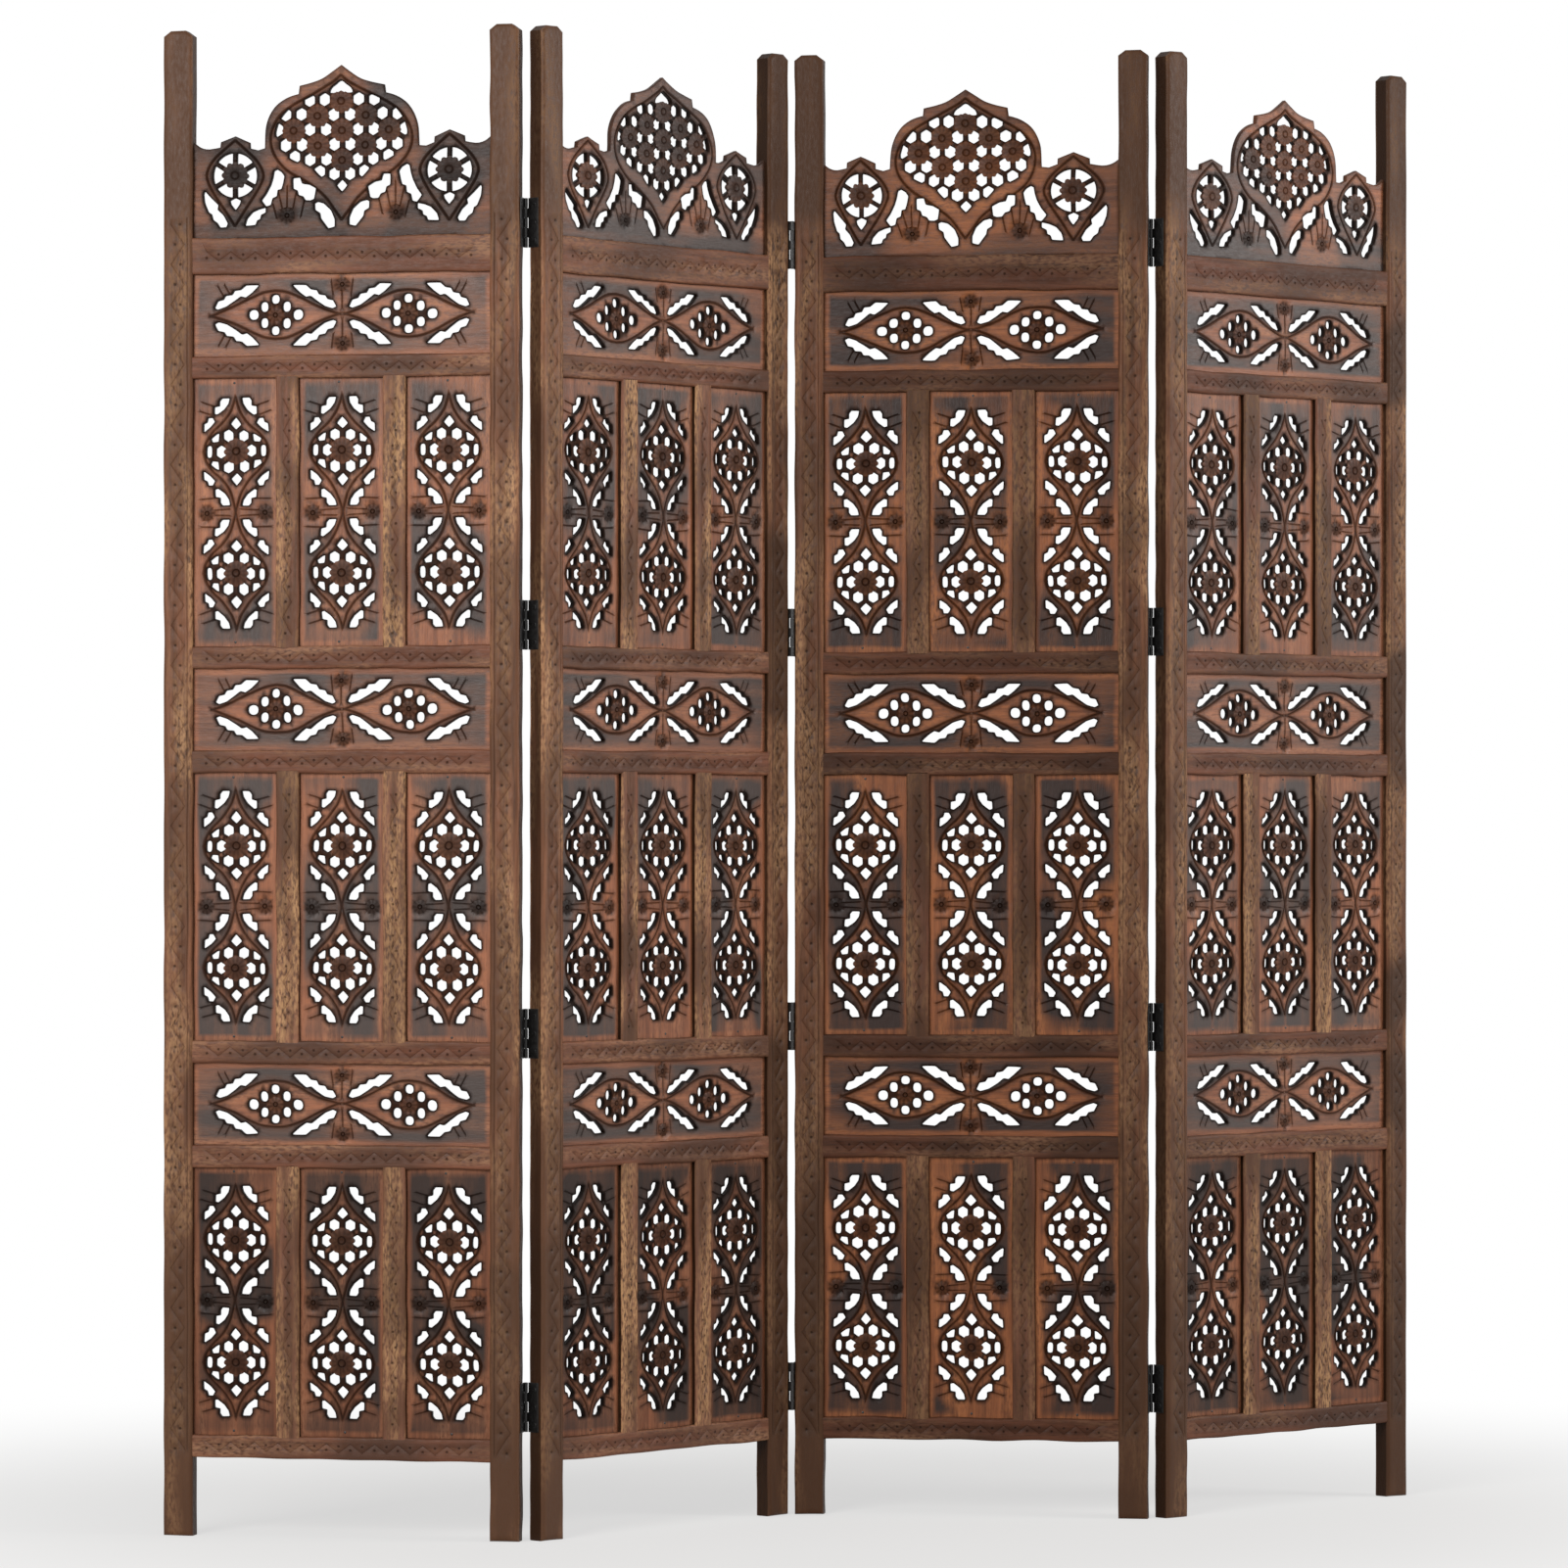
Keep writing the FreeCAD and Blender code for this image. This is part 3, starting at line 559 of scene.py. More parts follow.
# Mullion timber: the stain is rubbed through over most of the face, so that it is pale and full of chips.
MULLION_WOOD = finish("mango_mullion_stained_rubbed_waxed", {"dim": 0.65, "worn": 0.5}, {"dim": 0.82},
                      pale="#c29468", body="#845540", deep="#573622", grey="#52341f", burnt="#1f120a",
                      worn=0.95, bare=0.38)
mullion = slab(bar_face(MULLION_WIDTH / 2, BAY_HEIGHT / 2 + RAIL_SEAT, 1, BAY_HEIGHT / 2 - MULLION_MARGIN,
                        MULLION_ZIGZAG, MULLION_ARRIS, MULLION_RUB), RAIL_DEPTH / 2, *MULLION_WALL_CHAR_AND_SHADE)
for number, panel in enumerate(PANELS):
    rng = np.random.default_rng(300 + number)
    places = [(MIDDLE + side * MULLION_STEP / 2, 0, middle) for middle in BAY_MIDDLES for side in (-1, 1)]
    parts = [solid(mullion, place, rng, True, MULLION_DRIFT) for place in places]
    name = panel + "_mullions"
    make_piece(name + "_wood", parts, panel, MULLION_WOOD[SHADES[panel]], "frame_wood", name)

# Lattice boards: nine upright fretwork boards to a panel, 6 mm mango wood pierced with a scroll saw and
# carved: two medallions round daisies inside a figure-eight line, leaves outside it, a bud at each side.
# Their edges sit in the grooves of the frame, and the saw cuts are burnt dark.
BOARD_THICKNESS = 6.0
TONGUE = 2.5
COLUMNS = (-1, 0, 1)
MEDALLION_RISE = 67.0
DAISY_RADIUS = 14.1
DAISY_PETALS = 12
DAISY_DARK = 0.72
BUD_PETALS = 9
BUD_DARK = 0.72
LATTICE_BUD = 8.0
LATTICE_BUD_AT = 33.4
CUT_LINE = (1.9, 1.35)
STEM = (1.2, 0.9)
LATTICE_DRIFT = 0.9
# Smoke on the lattices by bay, lower to upper: the wood's smoke, with more of it lower down as painted shade,
# darker towards the floor.
LATTICE_SMOKE_AND_SHADE = (2.2, 1.2, 0.9)
TURNS = (NO_TURN, (-1, -1, 1), (-1, 1, -1), (1, -1, -1))
# Board timber: a red stain with more wax, so that it looks warm and shines where the flame missed it.
BROWN_BOARDS = {"dim": 0.8, "pale": "#cd8550", "body": "#ad683e", "deep": "#784325", "grey": "#33211a"}
# The dark copy of the board finish is painted shade: the lower lattices and the first panel's crest take it.
BOARDS_IN_PAINTED_SHADE = {"dim": 0.75, "grey": "#3d2d26"}
FRET_WOOD = finish("mango_board_red_stained_singed_waxed", BROWN_BOARDS, BOARDS_IN_PAINTED_SHADE, pale="#c58c68",
                   body="#a96a49", deep="#794830", grey="#4a3e39", burnt="#170d08", worn=0.5,
                   matt=(0.36, 0.52), sheen=0.28)


def smooth(points, step, closed=False):
    """A curve through the points: on every stretch the cubic whose end slopes are half the chord between
    the neighbouring points, sampled about every step."""
    p = np.asarray(points, float)
    ends = (p[-1:], p[:2]) if closed else (2 * p[:1] - p[1:2], 2 * p[-1:] - p[-2:-1])
    q = np.vstack([ends[0], p, ends[1]])
    count = max(2, round(np.linalg.norm(np.diff(p, axis=0), axis=1).mean() / step))
    t = (np.arange(count) / count)[None, :, None]
    a, b, c, d = (q[i:len(q) - 3 + i, None] for i in range(4))
    curve = b + 0.5 * t * (c - a + t * (2 * a - 5 * b + 4 * c - d + t * (3 * (b - c) + d - a)))
    curve = curve.reshape(-1, 2)
    return curve if closed else np.vstack([curve, p[-1:]])


def whittle(corners):
    """A cut-out with its corners eased: twice over, every side keeps only its middle part, so that each
    corner becomes a short chamfer and then a rounder one."""
    p = np.asarray(corners, float)
    for keep in (0.09, 0.25):
        q = np.roll(p, -1, axis=0)
        p = np.stack([p + keep * (q - p), q + keep * (p - q)], axis=1).reshape(-1, 2)
    return p


def blob(centre, half, square, count=16):
    """A rounded hole: |u / a|^n + |v / b|^n = 1, where n = 2 is an ellipse and more is squarer."""
    angle = np.linspace(0, 2 * np.pi, count, endpoint=False)
    turn = np.column_stack([np.cos(angle), np.sin(angle)])
    return np.asarray(centre) + np.array(half) * np.sign(turn) * np.abs(turn) ** (2 / square)


def bitten(loop, centre, radius, petals):
    """A hole pushed out of a daisy: no point comes nearer to its centre than its scalloped rim, which is at
    the radius at each petal's tip and a seventh less between two, by the cosine of half the petals' angle."""
    ray = loop - np.asarray(centre)
    distance = np.linalg.norm(ray, axis=1)
    angle = np.arctan2(ray[:, 1], ray[:, 0])
    rim = radius * (0.86 + 0.14 * np.abs(np.cos(petals * angle / 2)))
    return centre + ray * (np.maximum(distance, rim) / distance)[:, None]


def cell(centre, half):
    """A six-sided hole that stands on a corner, with eased corners, its sides cut into short steps."""
    corners = np.array([(0, 1), (1, 0.5), (1, -0.5), (0, -1), (-1, -0.5), (-1, 0.5)])
    return loop_of(whittle(np.array(centre) + np.array(half) * corners), 1.2)


def four_ways(loops):
    """The loops and their mirror images across both axes."""
    return [loop * np.array((x, z)) for loop in loops for x in (1, -1) for z in (1, -1)]


def strokes(*ends):
    """Straight cuts between pairs of ends."""
    return [legs(pair, 4) for pair in ends]


def board_outline(width, height):
    """A rectangle about its middle, larger all round by the tongue that sits in the frame."""
    half, rise = width / 2 + TONGUE, height / 2 + TONGUE
    return loop_of([(-half, -rise), (half, -rise), (half, rise), (-half, rise)], 10)


def lattice_face():
    """Two medallions at the same distance above and below the middle. The leaf outside each quarter of
    a medallion has a stepped outer edge, and its inner edge runs along the figure-eight line."""
    quarter = [
        bitten(cell((8.8, 17.2), (5.7, 6.9)), (0, 0), DAISY_RADIUS, DAISY_PETALS),
        whittle([(18.8, 19.4), (22.3, 18.3), (28.4, 13.5), (26.8, 9.8), (19.6, 10.5)]),
        whittle([(6.9, 59.2), (15.8, 59.3), (18.3, 56.0), (18.3, 50.6), (23.9, 49.6), (24.1, 41.7),
                 (20.4, 40.8), (13.0, 46.4), (8.3, 53.0)]),
        whittle([(23.3, 32.2), (26.0, 37.0), (31.2, 36.9), (32.6, 32.0), (36.5, 30.2), (36.9, 21.7),
                 (35.2, 21.6), (28.6, 26.2)]),
    ]
    axis_holes = [
        bitten(cell((16.9, 0), (5.4, 7.1)), (0, 0), DAISY_RADIUS, DAISY_PETALS),
        blob((30.0, 0), (3.25, 6.2), 3.2),
    ]
    drop = whittle([(0, 38.0), (3.8, 33.8), (6.5, 30.2), (0, 23.9), (-6.5, 30.2), (-3.8, 33.8)])
    medallion = four_ways(quarter) + [hole * (x, 1) for hole in axis_holes for x in (1, -1)]
    medallion += [drop, drop * (1, -1)]
    shoulder = [(26.5, 20.0), (34.0, 9.0), (36.6, 0)]
    outer = smooth([(0, 60), (2.6, 51.5), (6.4, 42.6), (15.2, 30.8)] + shoulder, 2.6)
    inner = smooth([(-0.6, 69), (2.4, 57), (7.0, 44), (15.2, 31.4)] + shoulder, 2.6)
    ticks = strokes([(23.6, 50.6), (36.5, 54.6)], [(28.5, 41.0), (39.5, 44.6)])
    stems = strokes([(26.0, 2.6), (7.0, 3.6)], [(22.0, 16.0), (39.0, 15.0)])
    holes, cuts, blooms = [], [], []
    for up in (1, -1):
        centre = np.array((0, up * MEDALLION_RISE))
        holes += [hole * (1, up) + centre for hole in medallion]
        blooms.append((centre, DAISY_RADIUS, DAISY_PETALS, DAISY_DARK))
        for x in (1, -1):
            cuts += [(outer * (x, up) + centre, *CUT_LINE), (inner * (x, -up) + centre, *CUT_LINE)]
            cuts += [(tick * (x, up) + centre, *STEM) for tick in ticks]
    cuts += [(stem, *STEM) for stem in four_ways(stems)]
    blooms += [(np.array((x * LATTICE_BUD_AT, 0)), LATTICE_BUD, BUD_PETALS, BUD_DARK) for x in (1, -1)]
    return carve(board_outline(LATTICE_WIDTH, BAY_HEIGHT), holes, cuts, blooms=blooms)


def spared(points, width, height, outside, least):
    """How much of the smoke a board takes: the least share inside the carved line and all of it outside,
    and about a sixth of that along the edges, which the frame shields."""
    room = np.minimum(width / 2 - np.abs(points[:, 0]), height / 2 - np.abs(points[:, 1]))
    return (least + (1 - least) * outside) * (0.15 + 0.85 * ease(room, 3, 7))


def lattice_smoke(points, rng, heavy):
    """Dark clouds outside the figure-eight and at the ends, thinner inside it and along the edges. Heavy
    scales the clouds: the wood's smoke, with more of it in the lower bays as painted shade."""
    rise = np.abs(np.abs(points[:, 1]) - MEDALLION_RISE)
    line = np.interp(rise, (0, 9, 20, 31, 42, 60), (36.6, 34, 26.5, 15.2, 6.4, 0))
    outside = ease(np.abs(points[:, 0]) - line, -5, 5)
    ends = ease(np.abs(points[:, 1]), 0.34 * BAY_HEIGHT, 0.47 * BAY_HEIGHT) * rng.uniform(0, 0.8)
    cloud = heavy * clouds(points, rng, (110, 330), 0.28, 0.72)
    return spared(points, LATTICE_WIDTH, BAY_HEIGHT, outside, 0.2) * np.clip(cloud + ends, 0, 1)


lattice = slab(lattice_face(), BOARD_THICKNESS / 2)
for number, panel in enumerate(PANELS):
    for bay, word in enumerate(BAYS):
        rng = np.random.default_rng(400 + 10 * number + bay)
        smoke = partial(lattice_smoke, heavy=LATTICE_SMOKE_AND_SHADE[bay])
        places = [(MIDDLE + column * MULLION_STEP, 0, BAY_MIDDLES[bay]) for column in COLUMNS]
        parts = [solid(lattice, place, rng, True, LATTICE_DRIFT, smoke, TURNS[rng.integers(4)])
                 for place in places]
        name = f"{panel}_{word}_lattices"
        # The lower bays, except on the third panel, take the dark copy of the board finish: painted shade,
        # darker towards the floor.
        shade = "brown" if panel == "panel_3" else "dark" if word == "lower" else "usual"
        make_piece(name + "_fretwork", parts, panel, FRET_WOOD[shade], "fretwork_wood", name)

# Frieze boards: a lying fretwork board above each bay, cut from the same 6 mm wood: two eyes that meet in
# the middle, eight holes round a daisy in each, four long leaves round each eye and two buds between them.
EYE_OFFSET = 75.1
EYE_DAISY = 8.4
EYE_PETALS = 9
FRIEZE_BUD = 7.2
FRIEZE_BUD_AT = 32.5
FRIEZE_DRIFT = 1.0


def frieze_face():
    """Two eyes side by side. The outer edge of each leaf goes up in steps, its inner edge follows the eye."""
    leaf = whittle([(18.6, 32.8), (34.2, 33.1), (39.8, 27.9), (46.4, 27.1), (48.9, 22.2), (56.0, 21.3),
                    (58.5, 16.8), (64.8, 15.5), (68.4, 8.4), (64.2, 6.5), (55, 9.4), (45.4, 16.0),
                    (39.4, 20.8), (34, 19.4), (27, 24.6)])
    eye = four_ways([leaf, bitten(blob((12.9, 8.8), (4.5, 5.4), 2.4, 24), (0, 0), EYE_DAISY, EYE_PETALS)])
    for x in (1, -1):
        eye += [blob((x * 25.5, 0), (5.7, 5.5), 2.3), blob((0, x * 16.9), (4.8, 4.8), 2.4)]
    lid = smooth([(73.5, -0.6), (58, 4.6), (44, 10.6), (28, 18.6), (13, 24.4), (0, 26)], 2.8)
    spokes = strokes([(50, 21.5), (56.5, 33.5)], [(57, 19.5), (64, 32)])
    holes, cuts, blooms = [], [], []
    for side in (1, -1):
        centre = np.array((side * EYE_OFFSET, 0))
        holes += [hole + centre for hole in eye]
        cuts += [(line + centre, *CUT_LINE) for line in four_ways([lid])]
        cuts += [(spoke * (side, z) + centre, *STEM) for spoke in spokes for z in (1, -1)]
        blooms.append((centre, EYE_DAISY, EYE_PETALS, DAISY_DARK))
    side_stem, middle_stem = strokes([(12.0, 36.5), (10.0, 22.0)], [(0, 25.0), (0, 7.0)])
    cuts += [(stem, *STEM) for stem in four_ways([side_stem])]
    cuts += [(middle_stem * (1, z), *STEM) for z in (1, -1)]
    blooms += [(np.array((0, z * FRIEZE_BUD_AT)), FRIEZE_BUD, BUD_PETALS, BUD_DARK) for z in (1, -1)]
    return carve(board_outline(OPENING, FRIEZE_HEIGHT), holes, cuts, blooms=blooms)


def frieze_smoke(points, rng):
    """Dark clouds outside the eyes, thinner inside them, between the buds and along the edges."""
    aslant = np.abs(np.abs(points[:, 0]) - EYE_OFFSET)
    lid = np.interp(aslant, (0, 13, 28, 44, 71), (26, 24.4, 18.6, 10.6, 0))
    outside = ease(np.abs(points[:, 1]) - lid, -4, 5)
    between = 0.25 + 0.75 * ease(np.abs(points[:, 0]), 4, 20)
    cloud = 0.55 + 0.45 * clouds(points, rng, (120, 360), 0.25, 0.7)
    return spared(points, OPENING, FRIEZE_HEIGHT, outside, 0.12) * between * cloud


frieze = slab(frieze_face(), BOARD_THICKNESS / 2)
for number, panel in enumerate(PANELS):
    rng = np.random.default_rng(500 + number)
    rise = 2 * RAIL_HEIGHT + BAY_HEIGHT + FRIEZE_HEIGHT / 2
    parts = [solid(frieze, (MIDDLE, 0, foot + rise), rng, False, FRIEZE_DRIFT, frieze_smoke,
                   TURNS[rng.integers(4)]) for foot in BAY_FEET]
    wood = FRET_WOOD["brown" if panel == "panel_3" else "usual"]
    make_piece(panel + "_frieze_fretwork", parts, panel, wood, "fretwork_wood", panel + "_frieze_boards")

# Crest boards: the domed top board of each panel, let into the head rail and the stiles. An onion dome
# holds a honeycomb of three-lobed holes round nine daisies, and a finial at each side a ring round one.
COMB_PITCH = 18.0
COMB_ROW = 16.3
COMB_CENTRE = np.array((0, 117.6))
COMB_DAISIES = ((0, 0), (0, 2), (0, -2), (3, 1), (3, -1), (-3, 1), (-3, -1), (6, 0), (-6, 0))
COMB_DAISY = 12.9
COMB_DROP = 1.4
COMB_HOLE = (6.1, 7.45)
COMB_NUDGES = {(6, -2): (-1.0, 3.2), (3, -3): (-1.6, 2.6), (2, 2): (0.9, 0.6), (5, 1): (0.6, 0.6)}
COMB_SPILL = 4.5
COMB_SLIVER = 5.2
COMB_DARK = 0.62
FINIALS = ((1, -120.4, 69.2), (-1, 120.4, 71.8))
FINIAL_DAISY = 15.2
RING_RADII = (24.6, 12.2)
RING_BARS = 6
RING_BAR = 5.2
CREST_BUD = 7.8
CREST_BUD_AT = np.array((59.0, -45.0))
CREST_ARRIS = 1.3
CREST_BURN = 2.6
CREST_DRIFT = 0.8
CREST_SHIFTS = (-0.6, 0.5, -6.3, 1.5)
CREST_FLAMES = (0.95, 0.8, 0.5, 0.8)
# The first panel's crest takes the dark copy of the board finish: painted shade, against the gloss the front
# lamp lays on it.
CREST_SHADES = ("dark", "usual", "brown", "usual")


def crest_outline():
    """The top edge from the middle out: an ogee to a step, the round dome, a dip, the stepped finial, and
    a second dip that rises to the stile; then down into the head rail. The left half mirrors it."""
    half = OPENING / 2 + TONGUE
    sides = []
    for side, across, ring in FINIALS:
        across, rise = abs(across), ring - FINIALS[0][2]
        run = [
            smooth([(0, 187.2), (9.5, 180.6), (21, 173.4), (33, 169.4), (47.4, 166.2)], 3),
            smooth([(48.6, 157.4), (57, 155.0), (65, 151.2), (73.2, 145.0), (79.6, 136.6), (83.8, 127),
                    (85.8, 117), (86.4, 99)], 4),
            smooth([(94, 97.0 + rise / 2), (across - 17.4, 99.2 + rise)], 5),
            legs([(across - 17.0, 105.2 + rise), (across, 112.2 + rise), (across + 17.0, 105.6 + rise)], 5),
            smooth([(across + 17.6, 99.6 + rise), (150, 97.4 + rise), (157.5, 98.4 + rise),
                    (163, 101.2 + rise), (167.6, 105.2 + rise)], 4),
            legs([(half, 105.2 + rise), (half, -TONGUE)], 10),
        ]
        sides.append(np.vstack(run) * (-side, 1))
    left, right = sides
    return np.vstack([right, left[::-1][:-1]])


def onion_reach(points):
    """How far the pierced onion runs from the comb's centre in a point's direction, by the angle."""
    edge = np.array([(0, 171), (12.5, 163), (27, 157), (40.5, 151.6), (52, 146), (62, 138.4), (70.5, 127),
                     (74.2, 115), (71, 98), (60, 88.4), (45, 81.2), (31, 73.4), (16.5, 60.4), (8, 50.6),
                     (0, 46)], float) - COMB_CENTRE
    angle = np.arctan2(edge[:, 1], edge[:, 0])
    ray = points - COMB_CENTRE
    return np.interp(-np.arctan2(ray[:, 1], np.abs(ray[:, 0])), -angle, np.linalg.norm(edge, axis=1))


def comb_holes():
    """A six-sided hole at each site of a honeycomb that no daisy takes, bitten to three lobes by the daisies
    beside it and drawn in to the onion's edge, where a few are nudged to fit. Slivers are dropped; an arch
    and a drop close the ends."""
    grid = np.array((COMB_PITCH / 2, COMB_ROW))
    daisies = [COMB_CENTRE + grid * site - (0, COMB_DROP) for site in COMB_DAISIES]
    sites = [(column, row) for row in range(-3, 4) for column in range(-9, 10) if (row + column) % 2 == 0]
    holes = []
    for column, row in sites:
        if (column, row) in COMB_DAISIES or (row == 3 and abs(column) == 1):
            continue
        aslant, lift = COMB_NUDGES.get((abs(column), row), (0, 0))
        centre = COMB_CENTRE + grid * (column, row) + (np.sign(column) * aslant, lift)
        loop = cell(centre, COMB_HOLE)
        for daisy in daisies:
            if 1 < np.linalg.norm(daisy - centre) < 1.2 * COMB_PITCH:
                loop = bitten(loop, daisy, COMB_DAISY, DAISY_PETALS)
        ray = loop - COMB_CENTRE
        distance = np.linalg.norm(ray, axis=1)
        loop = COMB_CENTRE + ray * (np.minimum(distance, onion_reach(loop)) / distance)[:, None]
        inside = onion_reach(centre[None])[0] - np.linalg.norm(centre - COMB_CENTRE)
        if inside > -COMB_SPILL and np.ptp(loop, axis=0).min() > COMB_SLIVER:
            holes.append(loop)
    arch = smooth([(-12.4, 158.2), (-6, 157.8), (0, 157.8), (6, 157.8), (12.4, 158.2), (11.0, 162.8),
                   (6.2, 166.6), (0, 170.6), (-6.2, 166.6), (-11.0, 162.8)], 1.5, True)
    drop = whittle([(0, 62.4), (6.4, 55.8), (0, 48.4), (-6.4, 55.8)])
    return holes + [bitten(arch, daisies[1], 0.88 * COMB_DAISY, DAISY_PETALS), drop], daisies


def finial_ring():
    """The holes round a finial's daisy: an even ring cut by bars of one width, one sector turned round."""
    arcs = []
    for radius in RING_RADII:
        arc = (np.pi / RING_BARS - np.arcsin(RING_BAR / 2 / radius)) * np.linspace(-1, 1, 9)
        arcs.append(radius * np.column_stack([np.cos(arc), np.sin(arc)]))
    sector = np.vstack([arcs[0], arcs[1][::-1]])
    ring = []
    for turn in 2 * np.pi / RING_BARS * np.arange(RING_BARS):
        c, s = np.cos(turn), np.sin(turn)
        hole = whittle(sector @ np.array(((c, s), (-s, c))))
        ring.append(bitten(hole, (0, 0), FINIAL_DAISY, DAISY_PETALS))
    return ring


def crest_face():
    """The crest's holes, lines and flowers. A side is drawn once, in millimetres from the finial's daisy
    with the dome to the right, and mirrored."""
    holes, daisies = comb_holes()
    blooms = [(daisy, COMB_DAISY, DAISY_PETALS, COMB_DARK) for daisy in daisies]
    onion = smooth([(0, 18), (7.5, 28), (19.5, 44), (39, 60), (60, 73), (73.5, 88), (79.4, 104), (77.5, 119),
                    (67.5, 135), (50, 147.5), (27, 159.5), (9, 169.5), (0, 176.5)], 3)
    cuts = [(onion * (x, 1), *CUT_LINE) for x in (1, -1)]
    leaves = [whittle(leaf) for leaf in (
        [(-34.2, -16.7), (-26.4, -25.1), (-18.6, -32.7), (-19.8, -37.7), (-13.2, -43.9), (-8.4, -52.9),
         (-10.2, -56.9), (-17.6, -57.1), (-20.8, -51.7), (-25.4, -48.3), (-26.8, -42.1), (-30.4, -39.7),
         (-34.6, -29.1), (-35.6, -20.1)],
        [(11.2, -55.7), (13.4, -47.9), (19.6, -40.9), (27.0, -37.7), (34.8, -35.9), (34.8, -41.3),
         (29.6, -43.7), (28.8, -48.1), (25.2, -49.9), (23.6, -54.7)],
        [(44.0, 4.6), (47.4, 6.4), (52.8, 3.2), (56.0, -1.4), (54.4, -9.8), (52.6, -15.8), (48.2, -16.8),
         (47.4, -23.8), (42.4, -25.8), (40.6, -33.2), (35.0, -34.8), (29.4, -28.0), (35.0, -20.8),
         (40.2, -10.8), (42.6, -3.2)],
        [(65.1, -4.1), (73.5, -3.7), (75.7, -10.9), (83.5, -12.3), (91.1, -16.7), (90.5, -20.7),
         (89.1, -28.1), (84.9, -29.7), (79.1, -29.3), (76.3, -24.7), (71.3, -23.1), (69.9, -17.7),
         (65.5, -15.9)],
        [(89.4, -33.0), (92.8, -31.4), (100.0, -33.4), (108.2, -41.0), (112.4, -50.8), (112.4, -58.6),
         (104.8, -60.2), (100.8, -55.0), (96.2, -49.0), (95.2, -43.2), (89.8, -40.0)],
    )]
    drop = whittle([(-5.8, -28.2), (0, -25.2), (6.4, -28.2), (5.2, -32.2), (0.4, -38.8), (-4.8, -32.2)])
    tear = smooth([(0, 38.5), (11, 29.5), (25, 16), (32, 2), (29.6, -9), (21.4, -23.5), (12.4, -37),
                   (5, -48.5), (0, -56)], 3)
    stems = strokes([(59.4, -12.5), (59.2, -36)], [(49.4, -19), (53.8, -37.5)], [(69.4, -21), (66.0, -37)],
                    [(43.6, -33), (47.6, -47.5)], [(78.4, -30), (74.4, -46.4)])
    side_holes = finial_ring() + leaves + [drop]
    for side, *place in FINIALS:
        place = np.array(place)
        holes += [hole * (side, 1) + place for hole in side_holes]
        cuts += [(tear * (x, 1) + place, *CUT_LINE) for x in (1, -1)]
        cuts += [(stem * (side, 1) + place, *STEM) for stem in stems]
        blooms.append((place, FINIAL_DAISY, DAISY_PETALS, COMB_DARK))
        blooms.append((CREST_BUD_AT * (side, 1) + place, CREST_BUD, BUD_PETALS, BUD_DARK))
    return carve(crest_outline(), holes, cuts, blooms=blooms, arris=CREST_ARRIS, burnt=CREST_BURN)


def crest_smoke(points, rng, heavy):
    """Dark along the foot of the board and in clouds over the rest, the darker the heavier the flame."""
    return heavy * (0.8 * ease(-points[:, 1], -34, -8) + clouds(points, rng, (90, 300), 0.2, 0.65))


def off_centre(shape, shift):
    """A board whose carving was laid out to one side: every point slid by the shift times one less the
    fourth power of its distance from the middle, as a share of half the board."""
    points, *rest = shape
    share = points[:, 0] / (OPENING / 2 + TONGUE)
    return points + np.outer(shift * (1 - share ** 4), (1, 0, 0)), *rest


crest = slab(crest_face(), BOARD_THICKNESS / 2)
for number, panel in enumerate(PANELS):
    rng = np.random.default_rng(600 + number)
    place = (MIDDLE, 0, HEAD_RAIL_FOOT + HEAD_RAIL_HEIGHT)
    smoke = partial(crest_smoke, heavy=CREST_FLAMES[number])
    part = solid(off_centre(crest, CREST_SHIFTS[number]), place, rng, False, CREST_DRIFT, smoke)
    wood = FRET_WOOD[CREST_SHADES[number]]
    make_piece(panel + "_crest_fretwork", [part], panel, wood, "fretwork_wood", panel + "_crest_board")

# Hinges: four black lacquered butt hinges to a joint, 1 mm steel plate rolled round a pin, the five knuckles
# shared in turn between the leaves. Three slotted screws hold each leaf to the edge of its stile.
BARREL_RADIUS = 2.25
PIN_RADIUS = 1.2
PIN_PLAY = 0.08
PIN_CHAMFER = 0.3
PLATE_WIDTH = 15.0
PLATE_THICKNESS = 1.0
PLATE_ARRIS = 0.2
HINGE_LENGTH = 54.0
HINGE_HEIGHTS = (145.0, 552.0, 997.0, 1435.0)
KNUCKLE = HINGE_LENGTH / 5
KNUCKLE_GAP = 0.3
LEAVES = {"left": (-1, (-2, 0, 2)), "right": (1, (-1, 1))}
SCREW_RADIUS = 2.6
SCREW_HEAD = 1.6
SCREW_ARRIS = 0.35
SCREW_PROUD = 0.1
SCREW_SLOT = (0.45, 0.5)
SLOT_HALF = 2.1
SCREW_RISES = (-19, 0, 19)
SCREWS_AWAY = BARREL_RADIUS + 0.62 * PLATE_WIDTH
LACQUER_CLOUD = 3.85


